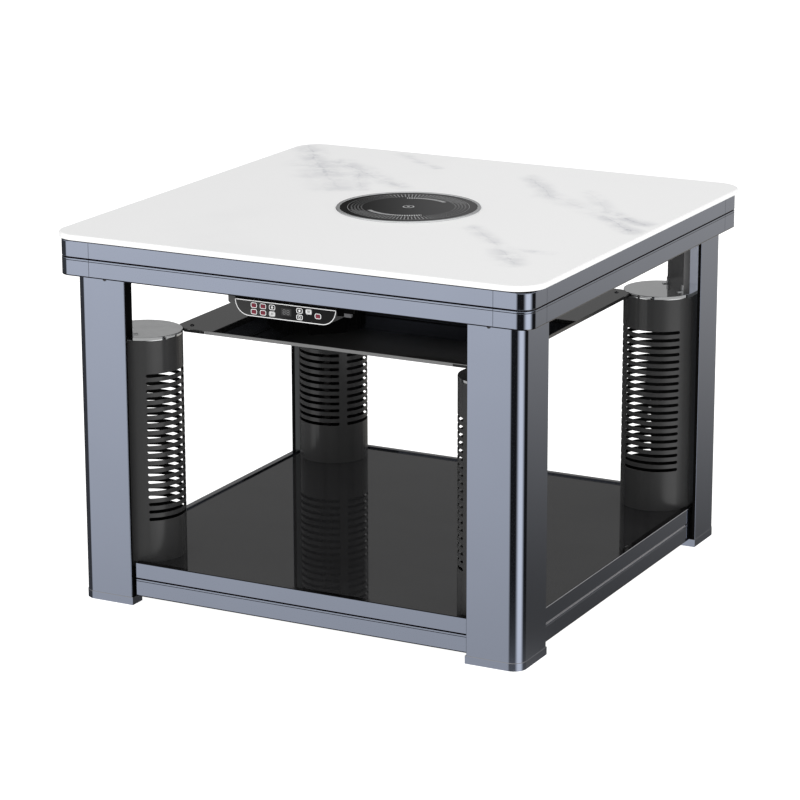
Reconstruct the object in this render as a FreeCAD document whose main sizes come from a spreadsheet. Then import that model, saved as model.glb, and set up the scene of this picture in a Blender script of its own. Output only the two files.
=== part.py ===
import FreeCAD, Part
import math
import os
from types import SimpleNamespace

import Sketcher
from FreeCAD import Placement, Rotation, Vector

# Square electric heating table, in millimetres. The origin is on the floor below the table's centre,
# +Z is up, and -Y is the side that carries the key panel.

SIZES = {
    # Stone top
    "top_side": 900,
    "slab_thickness": 12.5,
    "slab_corner": 42,
    "slab_round": 8,
    "slab_chamfer": 1,
    "slab_overhang": 10,
    # Apron under the top, and the section that it shares with the rails
    "clear_height": 577,
    "apron_height": 60.5,
    "apron_depth": 21,
    "apron_corner": 24,
    "corner_arm": 64,
    "groove_drop": 28.7,
    "groove_width": 2.6,
    "groove_depth": 2.2,
    "groove_flat": 1,
    "hairline_drop": 4.4,
    "hairline_width": 0.8,
    "hairline_depth": 0.6,
    "profile_wall": 2,
    "profile_edge": 0.8,
    # Legs and feet
    "leg_width": 98,
    "leg_wall": 3,
    "leg_lip": 6,
    "leg_corner": 22,
    "foot_height": 14,
    "foot_proud": 0.8,
    "foot_end": 2,
    "foot_arm": 31,
    "foot_chamfer": 0.6,
    "fit_gap": 0.3,
    # Lower rails, corner blocks and shelf
    "rail_setback": 8.4,
    "rail_bottom": 15,
    "rail_height": 60.5,
    "rail_depth": 11,
    "rail_end_gap": 4,
    "ledge_depth": 14,
    "ledge_thickness": 3,
    "block_tail": 18.5,
    "block_arm": 14,
    "shelf_thickness": 8,
    "shelf_top": 72.5,
    "shelf_gap": 0.5,
    "shelf_corner": 6,
    "shelf_chamfer": 1,
    # Heater columns
    "heater_axis": 334.5,
    "heater_radius": 65,
    "shell_wall": 1.5,
    "shell_height": 392,
    "slot_height": 4.7,
    "slot_pitch": 13.4,
    "slot_base": 76.4,
    "slot_start_angle": 6.5,
    "slot_span_angle": 96.5,
    "cap_thickness": 6,
    "cap_corner": 3,
    "element_offset": 36,
    "element_radius": 8,
    "insulator_radius": 10,
    "insulator_height": 30,
    "element_base_radius": 14,
    "element_base_height": 3,
    # Corner struts between the heater caps and the top
    "strut_offset": 29.8,
    "strut_width": 75,
    "strut_flange": 12,
    "strut_wall": 2,
    "clip_width": 7,
    "clip_height": 12,
    "clip_foot": 10,
    "clip_wall": 1.5,
    # Heat shield under the hob
    "shield_half": 300,
    "shield_sheet": 1.5,
    "shield_flange": 6,
    "shield_flange_end": 236,
    "shield_drop": 0.5,
    "shield_hole_inset": 18,
    "bracket_screw_radius": 2.5,
    # Hob
    "ring_radius": 126.5,
    "ring_body_radius": 121.5,
    "ring_rise": 2.2,
    "ring_chamfer": 1.2,
    "ring_seat_radius": 112,
    "ring_seat_thickness": 2,
    "hob_fit": 0.5,
    "glass_radius": 119.4,
    "glass_thickness": 4,
    "glass_chamfer": 0.5,
    "glass_recess": 0.4,
    "housing_radius": 119,
    "housing_depth": 59,
    "housing_wall": 1.5,
    "vent_width": 3,
    "vent_height": 16,
    "vent_rise": 8,
    "grille_inner": 18,
    "grille_outer": 40,
    "grille_width": 5,
    "coil_inner": 28,
    "coil_radius": 92,
    "coil_thickness": 6,
    "coil_drop": 2,
    "carrier_thickness": 3,
    "post_radius": 4,
    "post_circle": 84,
    "fan_radius": 38,
    "fan_hub": 15,
    "fan_height": 14,
    "fan_lift": 4,
    "fan_pin": 3,
    "fan_bore_gap": 0.06,
    "fan_blade": 1.6,
    "fan_blade_sweep": 9,
    # Key panel
    "panel_centre": -6.5,
    "fascia_setback": 14,
    "fascia_width": 190,
    "fascia_height": 28,
    "fascia_drop": 7,
    "fascia_corner": 27.5,
    "fascia_thickness": 2,
    "box_width": 217,
    "box_depth": 58,
    "ear_height": 16.5,
    "ear_corner": 4,
    "recess_width": 152,
    "recess_height": 23,
    "recess_depth": 8.6,
    "tab_width": 120,
    "tab_height": 32,
    "tab_thickness": 3,
    "key_width": 12.6,
    "key_height": 9.8,
    "key_corner": 2.2,
    "key_proud": 0.8,
    "key_gap": 0.2,
    "key_lip": 0.4,
    "key_lip_thickness": 1,
    "key_stem_radius": 1.5,
    "key_stem": 1,
    "key_pitch_across": 17.1,
    "key_pitch_up": 11,
    "key_centre_drop": 13.7,
    "key_row_shift": 1.5,
    "display_width": 20,
    "display_height": 13,
    "board_width": 148,
    "board_height": 20,
    "board_thickness": 1.6,
    "switch_side": 6,
    "switch_gap": 0.8,
    "sensor_width": 17,
    "sensor_height": 10,
    "sensor_depth": 6,
    "sensor_foot_width": 12,
    "sensor_foot_height": 7,
    "sensor_gap": 0.5,
    # Leg screws
    "leg_screw_drop": 4.8,
    "leg_screw_head": 3.4,
    "leg_screw_head_height": 1.4,
    "leg_screw_radius": 2.4,
    "leg_screw_length": 7,
    "screw_clearance": 0.1,
    "overrun": 5,
}

# Counts, and shares of other sizes
SLOTS = 20
FACETS = 18
VENTS = 24
GRILLE_BARS = 12
BLADES = 7
POSTS = 3
QUARTERS = 4
ROUND_ANGLE = 270
DIAGONAL = math.sqrt(2)
LEVEL, UPRIGHT = 1, 2
BLADE_ROOT_SHARE = 0.75
PIN_SHARE = 0.75
HUB_CAP_SHARE = 0.2
SENSOR_FOOT_SHARE = 0.1


class Size:
    """A length that knows its formula on the sheet and its present value."""

    def __init__(self, formula, value):
        self.formula = formula
        self.value = value

    def join(self, other, sign, value, swap=False):
        text = other.formula if isinstance(other, Size) else repr(other)
        left, right = (text, self.formula) if swap else (self.formula, text)
        return Size(f"({left} {sign} {right})", value)

    def __add__(self, other):
        return self.join(other, "+", self.value + number(other))

    def __sub__(self, other):
        return self.join(other, "-", self.value - number(other))

    def __mul__(self, other):
        return self.join(other, "*", self.value * number(other))

    def __truediv__(self, other):
        return self.join(other, "/", self.value / number(other))

    def __rsub__(self, other):
        return self.join(other, "-", number(other) - self.value, swap=True)

    def __neg__(self):
        return Size(f"(0 - {self.formula})", -self.value)

    __radd__ = __add__
    __rmul__ = __mul__


def number(item):
    return item.value if isinstance(item, Size) else item


def make_sheet(doc):
    """Writes the driving sizes into a sheet and returns them as named Size objects."""
    sheet = doc.addObject("Spreadsheet::Sheet", "Sizes")
    for row, (name, value) in enumerate(SIZES.items(), start=1):
        sheet.set(f"A{row}", name)
        sheet.set(f"B{row}", str(value))
        sheet.setAlias(f"B{row}", name)
    doc.recompute()
    return SimpleNamespace(**{name: Size(f"Sizes.{name}", value) for name, value in SIZES.items()})


doc = FreeCAD.newDocument("HeatingTable")
s = make_sheet(doc)
ZERO = Size("0", 0)

# Levels above the floor and distances from the centre that several pieces share
slab_bottom = s.clear_height + s.apron_height
table_top = slab_bottom + s.slab_thickness
slab_half = s.top_side / 2
apron_half = slab_half - s.slab_overhang
apron_inner = apron_half - s.apron_depth
corner_seam = apron_half - s.corner_arm
leg_half = apron_inner - s.fit_gap
leg_inner = leg_half - s.leg_wall
leg_edge = leg_half - s.leg_width
screw_side = leg_edge + (s.leg_width - s.leg_corner) / 2
screw_height = s.clear_height - s.leg_screw_drop
rail_half = leg_half - s.rail_setback
rail_inner = rail_half - s.rail_depth
rail_end = leg_edge - s.rail_end_gap
shelf_half = rail_inner - s.shelf_gap
shelf_bottom = s.shelf_top - s.shelf_thickness
ledge_bottom = shelf_bottom - s.ledge_thickness
shell_top = s.shelf_top + s.shell_height
cap_top = shell_top + s.cap_thickness
strut_face = s.heater_axis * DIAGONAL + s.strut_offset
shield_top = cap_top - s.shield_drop
shield_bottom = shield_top - s.shield_flange
shield_cut = (s.heater_axis * DIAGONAL - s.heater_radius - s.fit_gap) * DIAGONAL - s.shield_half
shield_hole = s.heater_axis - (s.heater_radius + s.fit_gap + s.shield_hole_inset) / DIAGONAL
glass_top = table_top + s.ring_rise - s.glass_recess
glass_seat = glass_top - s.glass_thickness
ring_bottom = glass_seat - s.ring_seat_thickness
housing_bottom = ring_bottom - s.housing_depth
fascia_front = apron_half - s.fascia_setback
box_front = fascia_front - s.fascia_thickness
fascia_top = s.clear_height - s.fascia_drop
key_centre = fascia_top - s.key_centre_drop
board_back = box_front - s.recess_depth
board_front = board_back + s.board_thickness
switch_top = box_front - s.key_lip_thickness - s.key_stem - s.switch_gap


def make_body(label, turn=0):
    """A body that stands in its own quarter of the table, turned about the table's centre line."""
    body = doc.addObject("PartDesign::Body", label)
    body.Label = label
    body.Placement = Placement(Vector(), Rotation(Vector(0, 0, 1), turn))
    return body


def origin_part(body, role):
    return next(item for item in body.Origin.OriginFeatures if item.Role == role)


def make_sketch(body, plane, lift=None):
    """An empty sketch on one of the body's own planes, lifted along the plane's normal."""
    sketch = body.newObject("Sketcher::SketchObject", body.Label + "_sketch")
    sketch.AttachmentSupport = [(origin_part(body, plane), "")]
    sketch.MapMode = "FlatFace"
    if lift is not None:
        sketch.setExpression("AttachmentOffset.Base.z", lift.formula)
    return sketch


def pin(sketch, edge, end, x, y):
    """Holds one point of a sketch edge at its distances from the sketch's origin."""
    for kind, size in (("DistanceX", x), ("DistanceY", y)):
        held = sketch.addConstraint(Sketcher.Constraint(kind, -1, 1, edge, end, number(size)))
        if isinstance(size, Size):
            sketch.setExpression(f"Constraints[{held}]", size.formula)


def draw_outline(sketch, points):
    """Draws a closed outline of straight runs through the points."""
    places = [Vector(number(x), number(y), 0) for x, y in points]
    start = sketch.GeometryCount
    count = len(points)
    runs = [Part.LineSegment(places[i], places[(i + 1) % count]) for i in range(count)]
    sketch.addGeometry(runs, False)
    sketch.addConstraint([
        Sketcher.Constraint("Coincident", start + i, 2, start + (i + 1) % count, 1) for i in range(count)
    ])
    for i, (x, y) in enumerate(points):
        pin(sketch, start + i, 1, x, y)


def draw_circle(sketch, x, y, radius):
    place = Vector(number(x), number(y), 0)
    edge = sketch.addGeometry(Part.Circle(place, Vector(0, 0, 1), radius.value), False)
    pin(sketch, edge, 3, x, y)
    held = sketch.addConstraint(Sketcher.Constraint("Radius", edge, radius.value))
    sketch.setExpression(f"Constraints[{held}]", radius.formula)


def box_points(low_x, low_y, high_x, high_y):
    return [(low_x, low_y), (high_x, low_y), (high_x, high_y), (low_x, high_y)]


def pad(body, sketch, length, both_ways=False, reverse=False):
    item = body.newObject("PartDesign::Pad", body.Label + "_pad")
    item.Profile = sketch
    item.setExpression("Length", length.formula)
    item.SideType = "Symmetric" if both_ways else "One side"
    item.Reversed = reverse
    return item


def pocket(body, sketch, length, reverse=False, through=False):
    """Cuts a sketch out of the body, and stops if nothing was cut."""
    doc.recompute()
    before = body.Shape.Volume
    item = body.newObject("PartDesign::Pocket", body.Label + "_pocket")
    item.Profile = sketch
    item.setExpression("Length", length.formula)
    item.SideType = "Symmetric" if through else "One side"
    item.Reversed = reverse
    doc.recompute()
    if not body.Shape.Volume < before:
        raise ValueError(f"{body.Label}: a pocket cuts nothing")
    return item


def revolve(body, points, x=None, y=None):
    """Turns an outline of (radius, height) points about a vertical axis through x, y."""
    sketch = make_sketch(body, "XZ_Plane")
    draw_outline(sketch, points)
    item = body.newObject("PartDesign::Revolution", body.Label + "_turned")
    item.Profile = sketch
    item.ReferenceAxis = (sketch, ["V_Axis"])
    item.Angle = 360
    if x is not None:
        body.setExpression("Placement.Base.x", x.formula)
        body.setExpression("Placement.Base.y", y.formula)
    return item


def around(body, features, count):
    """Repeats features evenly round the body's vertical axis."""
    item = body.newObject("PartDesign::PolarPattern", body.Label + "_ring")
    item.Originals = features
    item.Axis = (origin_part(body, "Z_Axis"), [""])
    item.Angle = 360
    item.Occurrences = count
    body.Tip = item
    doc.recompute()
    return item


def dress(body, kind, size, chosen):
    """Rounds or chamfers the edges of the body that the test chooses."""
    doc.recompute()
    base = body.Tip
    names = [f"Edge{i}" for i, edge in enumerate(base.Shape.Edges, start=1) if chosen(edge)]
    if not names:
        raise ValueError(f"{body.Label}: no edge to dress")
    item = body.newObject(f"PartDesign::{kind}", f"{body.Label}_{kind.lower()}")
    item.Base = (base, names)
    item.setExpression("Radius" if kind == "Fillet" else "Size", size.formula)
    doc.recompute()
    return item


def near(first, second):
    return abs(first - number(second)) < Part.Precision.confusion() * 100


def runs_along(axis, *corners):
    """Chooses the edges that run along one axis and pass through the given corners of its plane."""
    def chosen(edge):
        if len(edge.Vertexes) != 2:
            return False
        first, last = ([vertex.X, vertex.Y, vertex.Z] for vertex in edge.Vertexes)
        along = not near(first.pop(axis), last.pop(axis))
        straight = all(map(near, first, last))
        return along and straight and any(all(map(near, first, corner)) for corner in corners)
    return chosen


def level_at(height, inside=None):
    """Chooses the edges that lie at one height, and may leave out those that a test rejects."""
    def chosen(edge):
        box = edge.BoundBox
        level = near(box.ZMin, height) and near(box.ZMax, height)
        return level and (inside is None or inside(box))
    return chosen


def gather(label, pieces):
    """Puts several separate solids that are one kind of piece under one name."""
    group = doc.addObject("Part::Compound", label)
    group.Label = label
    group.Links = pieces
    return group


QUARTER_NAMES = ("back_right", "back_left", "front_left", "front_right")
SIDE_NAMES = ("front", "right", "back", "left")


def make_stone_top():
    body = make_body("stone_top")
    sketch = make_sketch(body, "XY_Plane", slab_bottom)
    draw_outline(sketch, box_points(-slab_half, -slab_half, slab_half, slab_half))
    pad(body, sketch, s.slab_thickness)
    corners = [(x, y) for x in (slab_half, -slab_half) for y in (slab_half, -slab_half)]
    dress(body, "Fillet", s.slab_corner, runs_along(UPRIGHT, *corners))
    dress(body, "Fillet", s.slab_round, level_at(table_top))
    dress(body, "Chamfer", s.slab_chamfer, level_at(slab_bottom))
    cut = make_sketch(body, "XY_Plane", slab_bottom)
    draw_circle(cut, ZERO, ZERO, s.ring_body_radius + s.hob_fit)
    pocket(body, cut, s.slab_thickness + s.overrun, reverse=True)
    return body


def section_outline(outer, base, height, depth):
    """The grooved face that apron and rails share, as points from bottom to top.

    Points are (distance from the centre, height). The face stands at outer, and the piece goes depth
    inwards from there.
    """
    groove = base + height - s.groove_drop
    hairline = groove - s.hairline_drop
    half_groove = s.groove_width / 2
    half_flat = s.groove_flat / 2
    half_line = s.hairline_width / 2
    edge = s.profile_edge
    top = base + height
    return [
        (outer - depth, base),
        (outer - edge, base),
        (outer, base + edge),
        (outer, hairline - half_line),
        (outer - s.hairline_depth, hairline),
        (outer, hairline + half_line),
        (outer, groove - half_groove),
        (outer - s.groove_depth, groove - half_flat),
        (outer - s.groove_depth, groove + half_flat),
        (outer, groove + half_groove),
        (outer, top - edge),
        (outer - edge, top),
        (outer - depth, top),
    ]


def section_chambers(outer, base, height, depth):
    """The two hollow chambers above and below the groove."""
    groove = base + height - s.groove_drop
    wall = s.profile_wall
    low = groove - s.hairline_drop - s.hairline_width / 2 - wall
    high = groove + s.groove_width / 2 + wall
    return [
        box_points(outer - depth + wall, base + wall, outer - wall, low),
        box_points(outer - depth + wall, high, outer - wall, base + height - wall),
    ]


def make_apron(side, turn):
    body = make_body(f"apron_{side}", turn)
    sketch = make_sketch(body, "YZ_Plane")
    shape = (apron_half, s.clear_height, s.apron_height, s.apron_depth)
    draw_outline(sketch, [(-y, z) for y, z in section_outline(*shape)])
    for chamber in section_chambers(*shape):
        draw_outline(sketch, [(-y, z) for y, z in chamber])
    pad(body, sketch, corner_seam * 2, both_ways=True)
    return body


def draw_corner_path(sketch, start, outer, radius):
    """A path that comes up at x = outer, turns through a round corner and leaves at y = outer."""
    centre = outer - radius
    first = sketch.addGeometry(Part.LineSegment(
        Vector(outer.value, start.value, 0), Vector(outer.value, centre.value, 0)), False)
    circle = Part.Circle(Vector(centre.value, centre.value, 0), Vector(0, 0, 1), radius.value)
    turn = sketch.addGeometry(Part.ArcOfCircle(circle, 0, math.pi / 2), False)
    last = sketch.addGeometry(Part.LineSegment(
        Vector(centre.value, outer.value, 0), Vector(start.value, outer.value, 0)), False)
    sketch.addConstraint(Sketcher.Constraint("Coincident", first, 2, turn, 1))
    sketch.addConstraint(Sketcher.Constraint("Coincident", turn, 2, last, 1))
    pin(sketch, first, 1, outer, start)
    pin(sketch, first, 2, outer, centre)
    pin(sketch, turn, 3, centre, centre)
    sketch.addConstraint(Sketcher.Constraint("Vertical", turn, 2, turn, 3))
    pin(sketch, last, 2, start, outer)


def make_apron_corner(quarter, turn):
    """A casting whose section is swept round the corner, grooves and all."""
    body = make_body(f"apron_corner_{quarter}", turn)
    profile = make_sketch(body, "XZ_Plane", -corner_seam)
    draw_outline(profile, section_outline(apron_half, s.clear_height, s.apron_height, s.apron_depth))
    path = make_sketch(body, "XY_Plane")
    draw_corner_path(path, corner_seam, apron_half, s.apron_corner)
    sweep = body.newObject("PartDesign::AdditivePipe", body.Label + "_sweep")
    sweep.Profile = profile
    sweep.Spine = path
    return body


def make_leg(quarter, turn):
    """An L-shaped extrusion with a lip turned in along each free edge."""
    body = make_body(f"leg_{quarter}", turn)
    sketch = make_sketch(body, "XY_Plane", s.foot_height)
    lip = leg_half - s.leg_lip
    shoulder = leg_edge + s.leg_wall
    draw_outline(sketch, [
        (leg_half, leg_half),
        (leg_edge, leg_half),
        (leg_edge, lip),
        (shoulder, lip),
        (shoulder, leg_inner),
        (leg_inner, leg_inner),
        (leg_inner, shoulder),
        (lip, shoulder),
        (lip, leg_edge),
        (leg_half, leg_edge),
    ])
    pad(body, sketch, slab_bottom - s.foot_height)
    dress(body, "Fillet", s.leg_corner, runs_along(UPRIGHT, (leg_half, leg_half)))
    dress(body, "Fillet", s.leg_corner - s.leg_wall, runs_along(UPRIGHT, (leg_inner, leg_inner)))
    front_or_back = "YZ_Plane" if quarter in ("back_left", "front_right") else "XZ_Plane"
    hole = make_sketch(body, front_or_back)
    draw_circle(hole, screw_side, screw_height, s.leg_screw_radius + s.screw_clearance)
    pocket(body, hole, leg_half * 2 + s.overrun, through=True)
    return body


def make_foot_cap(quarter, turn):
    body = make_body(f"foot_cap_{quarter}", turn)
    sketch = make_sketch(body, "XY_Plane")
    outer = leg_half + s.foot_proud
    end = leg_edge - s.foot_end
    inner = outer - s.foot_arm
    draw_outline(sketch, [
        (outer, outer), (end, outer), (end, inner), (inner, inner), (inner, end), (outer, end),
    ])
    pad(body, sketch, s.foot_height)
    dress(body, "Fillet", s.leg_corner + s.foot_proud, runs_along(UPRIGHT, (outer, outer)))

    def outside(box):
        return min(box.XMax, box.YMax) > inner.value + s.fit_gap.value

    dress(body, "Chamfer", s.foot_chamfer, level_at(s.foot_height, outside))
    return body


def make_corner_block(quarter, turn):
    """The inner block that ties leg, foot and the two rails' ends, with a step up to the shelf."""
    body = make_body(f"corner_block_{quarter}", turn)
    ear = leg_inner - s.fit_gap
    ear_end = leg_edge + s.leg_wall + s.fit_gap
    tail = rail_end - s.block_tail
    inner = rail_inner - s.block_arm
    base = make_sketch(body, "XY_Plane", s.foot_height)
    draw_outline(base, [
        (ear, ear), (ear_end, ear), (ear_end, rail_inner), (tail, rail_inner), (tail, inner),
        (inner, inner), (inner, tail), (rail_inner, tail), (rail_inner, ear_end), (ear, ear_end),
    ])
    pad(body, base, ledge_bottom - s.foot_height)
    step = make_sketch(body, "XY_Plane", ledge_bottom)
    step_end = rail_end + s.fit_gap
    draw_outline(step, [
        (shelf_half, shelf_half), (step_end, shelf_half), (step_end, inner),
        (inner, inner), (inner, step_end), (shelf_half, step_end),
    ])
    pad(body, step, s.ledge_thickness)
    dress(body, "Fillet", s.leg_corner - s.leg_wall, runs_along(UPRIGHT, (ear, ear)))
    return body


def make_rail(side, turn):
    """The same grooved section as the apron, shallower, with a ledge for the shelf."""
    body = make_body(f"rail_{side}", turn)
    sketch = make_sketch(body, "YZ_Plane")
    shape = (rail_half, s.rail_bottom, s.rail_height, s.rail_depth)
    outline = section_outline(*shape)
    ledge = [
        (rail_inner, shelf_bottom),
        (rail_inner - s.ledge_depth, shelf_bottom),
        (rail_inner - s.ledge_depth, ledge_bottom),
        (rail_inner, ledge_bottom),
    ]
    draw_outline(sketch, [(-y, z) for y, z in outline + ledge])
    for chamber in section_chambers(*shape):
        draw_outline(sketch, [(-y, z) for y, z in chamber])
    pad(body, sketch, rail_end * 2, both_ways=True)
    return body


def make_lower_shelf():
    body = make_body("lower_shelf")
    sketch = make_sketch(body, "XY_Plane", shelf_bottom)
    draw_outline(sketch, box_points(-shelf_half, -shelf_half, shelf_half, shelf_half))
    pad(body, sketch, s.shelf_thickness)
    corners = [(x, y) for x in (shelf_half, -shelf_half) for y in (shelf_half, -shelf_half)]
    dress(body, "Fillet", s.shelf_corner, runs_along(UPRIGHT, *corners))
    dress(body, "Chamfer", s.shelf_chamfer, level_at(s.shelf_top))
    return body


def shell_points(radius):
    """A round outline that runs out straight on two sides to a square corner, about the column's axis."""
    step = math.radians(ROUND_ANGLE / FACETS)
    ring = [(radius * math.cos(i * step), -(radius * math.sin(i * step))) for i in range(FACETS + 1)]
    return ring + [(radius, radius)]


def make_heater_shell(quarter, turn):
    """A folded sheet shell with two banks of slots that face into the table."""
    body = make_body(f"heater_shell_{quarter}", turn)
    stand_in_quarter(body, turn, s.heater_axis)
    outer = make_sketch(body, "XY_Plane", s.shelf_top)
    draw_outline(outer, shell_points(s.heater_radius))
    pad(body, outer, s.shell_height)
    inner = make_sketch(body, "XY_Plane", s.shelf_top)
    draw_outline(inner, shell_points(s.heater_radius - s.shell_wall))
    pocket(body, inner, s.shell_height + s.overrun, reverse=True)
    towards_centre = 225
    lowest = s.shelf_top + s.slot_base - s.slot_height / 2
    banks = []
    for start in (towards_centre + s.slot_start_angle,
                  towards_centre - s.slot_start_angle - s.slot_span_angle):
        wedge = body.newObject("PartDesign::SubtractiveCylinder", body.Label + "_slot")
        wedge.AttachmentSupport = [(origin_part(body, "XY_Plane"), "")]
        wedge.MapMode = "FlatFace"
        wedge.setExpression("Radius", (s.heater_radius + s.overrun).formula)
        wedge.setExpression("Height", s.slot_height.formula)
        wedge.setExpression("Angle", s.slot_span_angle.formula)
        wedge.AttachmentOffset = Placement(Vector(), Rotation(Vector(0, 0, 1), start.value))
        wedge.setExpression("AttachmentOffset.Rotation.Angle", start.formula)
        wedge.setExpression("AttachmentOffset.Base.z", lowest.formula)
        banks.append(wedge)
    stack = body.newObject("PartDesign::LinearPattern", body.Label + "_slots")
    stack.Originals = banks
    stack.Direction = (origin_part(body, "Z_Axis"), [""])
    stack.setExpression("Length", (s.slot_pitch * (SLOTS - 1)).formula)
    stack.Occurrences = SLOTS
    body.Tip = stack
    return body


def stand_in_quarter(body, turn, place):
    """Moves a piece that is drawn about its own axis to its quarter, place from the centre lines."""
    along_x = 1 if turn in (0, 270) else -1
    along_y = 1 if turn in (0, 90) else -1
    body.setExpression("Placement.Base.x", (place * along_x).formula)
    body.setExpression("Placement.Base.y", (place * along_y).formula)


def make_heater_cap(quarter, turn):
    body = make_body(f"heater_cap_{quarter}", turn)
    stand_in_quarter(body, turn, s.heater_axis)
    disc = make_sketch(body, "XY_Plane", shell_top)
    draw_circle(disc, ZERO, ZERO, s.heater_radius)
    pad(body, disc, s.cap_thickness)
    square = make_sketch(body, "XY_Plane", shell_top)
    draw_outline(square, box_points(ZERO, ZERO, s.heater_radius, s.heater_radius))
    pad(body, square, s.cap_thickness)
    dress(body, "Fillet", s.cap_corner, runs_along(UPRIGHT, (s.heater_radius, s.heater_radius)))
    return body


def make_heater_element(quarter, turn):
    """A heating rod between two insulators, in the shell's square corner, on a flange on the shelf."""
    body = make_body(f"heater_element_{quarter}", turn)
    base = s.shelf_top + s.element_base_height
    revolve(body, [
        (ZERO, s.shelf_top),
        (s.element_base_radius, s.shelf_top),
        (s.element_base_radius, base),
        (s.insulator_radius, base),
        (s.insulator_radius, base + s.insulator_height),
        (s.element_radius, base + s.insulator_height),
        (s.element_radius, shell_top - s.insulator_height),
        (s.insulator_radius, shell_top - s.insulator_height),
        (s.insulator_radius, shell_top),
        (ZERO, shell_top),
    ])
    stand_in_quarter(body, turn, s.heater_axis + s.element_offset)
    return body


def make_corner_strut(quarter, turn):
    """A C channel set across the corner, from the heater's cap up to the underside of the top."""
    body = make_body(f"corner_strut_{quarter}", turn + 45)
    half = s.strut_width / 2
    tip = strut_face + s.strut_flange
    back = strut_face + s.strut_wall
    sketch = make_sketch(body, "XY_Plane", cap_top)
    draw_outline(sketch, [
        (strut_face, -half), (tip, -half), (tip, -half + s.strut_wall), (back, -half + s.strut_wall),
        (back, half - s.strut_wall), (tip, half - s.strut_wall), (tip, half), (strut_face, half),
    ])
    pad(body, sketch, slab_bottom - cap_top)
    return body


def make_strut_clips(quarter, turn):
    """Two angle clips at the foot of a strut, one at each end of its face."""
    half = s.strut_width / 2
    face = strut_face
    pieces = []
    for start in (half - s.clip_width, -half):
        body = make_body(f"strut_clip_{quarter}_{len(pieces) + 1}", turn + 45)
        sketch = make_sketch(body, "XZ_Plane", start)
        draw_outline(sketch, [
            (face - s.clip_foot, cap_top),
            (face, cap_top),
            (face, cap_top + s.clip_height),
            (face - s.clip_wall, cap_top + s.clip_height),
            (face - s.clip_wall, cap_top + s.clip_wall),
            (face - s.clip_foot, cap_top + s.clip_wall),
        ])
        pad(body, sketch, s.clip_width)
        pieces.append(body)
    return pieces


def make_heat_shield():
    """A sheet with its corners cut off at the heaters and its edges turned down between them."""
    body = make_body("heat_shield")
    half = s.shield_half
    cut = shield_cut
    sheet = make_sketch(body, "XY_Plane", shield_top - s.shield_sheet)
    draw_outline(sheet, [
        (half, -cut), (half, cut), (cut, half), (-cut, half),
        (-half, cut), (-half, -cut), (-cut, -half), (cut, -half),
    ])
    for x in (1, -1):
        for y in (1, -1):
            draw_circle(sheet, shield_hole * x, shield_hole * y, s.bracket_screw_radius + s.screw_clearance)
    pad(body, sheet, s.shield_sheet)
    edge = make_sketch(body, "XY_Plane", shield_bottom)
    end = s.shield_flange_end
    draw_outline(edge, box_points(half - s.shield_sheet, -end, half, end))
    flange = pad(body, edge, s.shield_flange)
    around(body, [flange], QUARTERS)
    return body


def make_shield_bracket(quarter, turn):
    """The dark plate under one corner of the shield."""
    body = make_body(f"shield_bracket_{quarter}", turn)
    half, start = s.shield_half, s.shield_flange_end + s.fit_gap
    sketch = make_sketch(body, "XY_Plane", shield_bottom)
    draw_outline(sketch, [(half, start), (half, shield_cut), (shield_cut, half), (start, half)])
    draw_circle(sketch, shield_hole, shield_hole, s.bracket_screw_radius + s.screw_clearance)
    pad(body, sketch, s.shield_flange - s.shield_sheet)
    return body


def make_shield_screw(quarter, turn):
    """A flush screw through the shield into its corner bracket."""
    body = make_body(f"shield_screw_{quarter}", turn)
    sketch = make_sketch(body, "XY_Plane", shield_bottom)
    draw_circle(sketch, shield_hole, shield_hole, s.bracket_screw_radius)
    pad(body, sketch, s.shield_flange)
    return body


def make_leg_screw(quarter, turn):
    """A round-headed screw in the front or back face of a leg."""
    body = make_body(f"leg_screw_{quarter}", 0)
    along_x = 1 if turn in (0, 270) else -1
    along_y = 1 if turn in (0, 90) else -1
    face = leg_half * -along_y
    head = make_sketch(body, "XZ_Plane", face)
    draw_circle(head, screw_side * along_x, screw_height, s.leg_screw_head)
    pad(body, head, s.leg_screw_head_height, reverse=along_y > 0)
    shank = make_sketch(body, "XZ_Plane", face)
    draw_circle(shank, screw_side * along_x, screw_height, s.leg_screw_radius)
    pad(body, shank, s.leg_screw_length, reverse=along_y < 0)
    return body


def make_hob_trim_ring():
    """A turned ring that lies on the stone and carries the glass on an inner step."""
    body = make_body("hob_trim_ring")
    rim = table_top + s.ring_rise
    inner = s.glass_radius + s.fit_gap
    revolve(body, [
        (s.ring_body_radius, table_top),
        (s.ring_radius, table_top),
        (s.ring_radius, rim - s.ring_chamfer),
        (s.ring_radius - s.ring_chamfer, rim),
        (inner + s.ring_chamfer / 2, rim),
        (inner, rim - s.ring_chamfer / 2),
        (inner, glass_seat),
        (s.ring_seat_radius, glass_seat),
        (s.ring_seat_radius, ring_bottom),
        (s.ring_body_radius, ring_bottom),
    ])
    return body


def make_hob_glass():
    body = make_body("hob_glass")
    revolve(body, [
        (ZERO, glass_seat),
        (s.glass_radius, glass_seat),
        (s.glass_radius, glass_top - s.glass_chamfer),
        (s.glass_radius - s.glass_chamfer, glass_top),
        (ZERO, glass_top),
    ])
    return body


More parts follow.
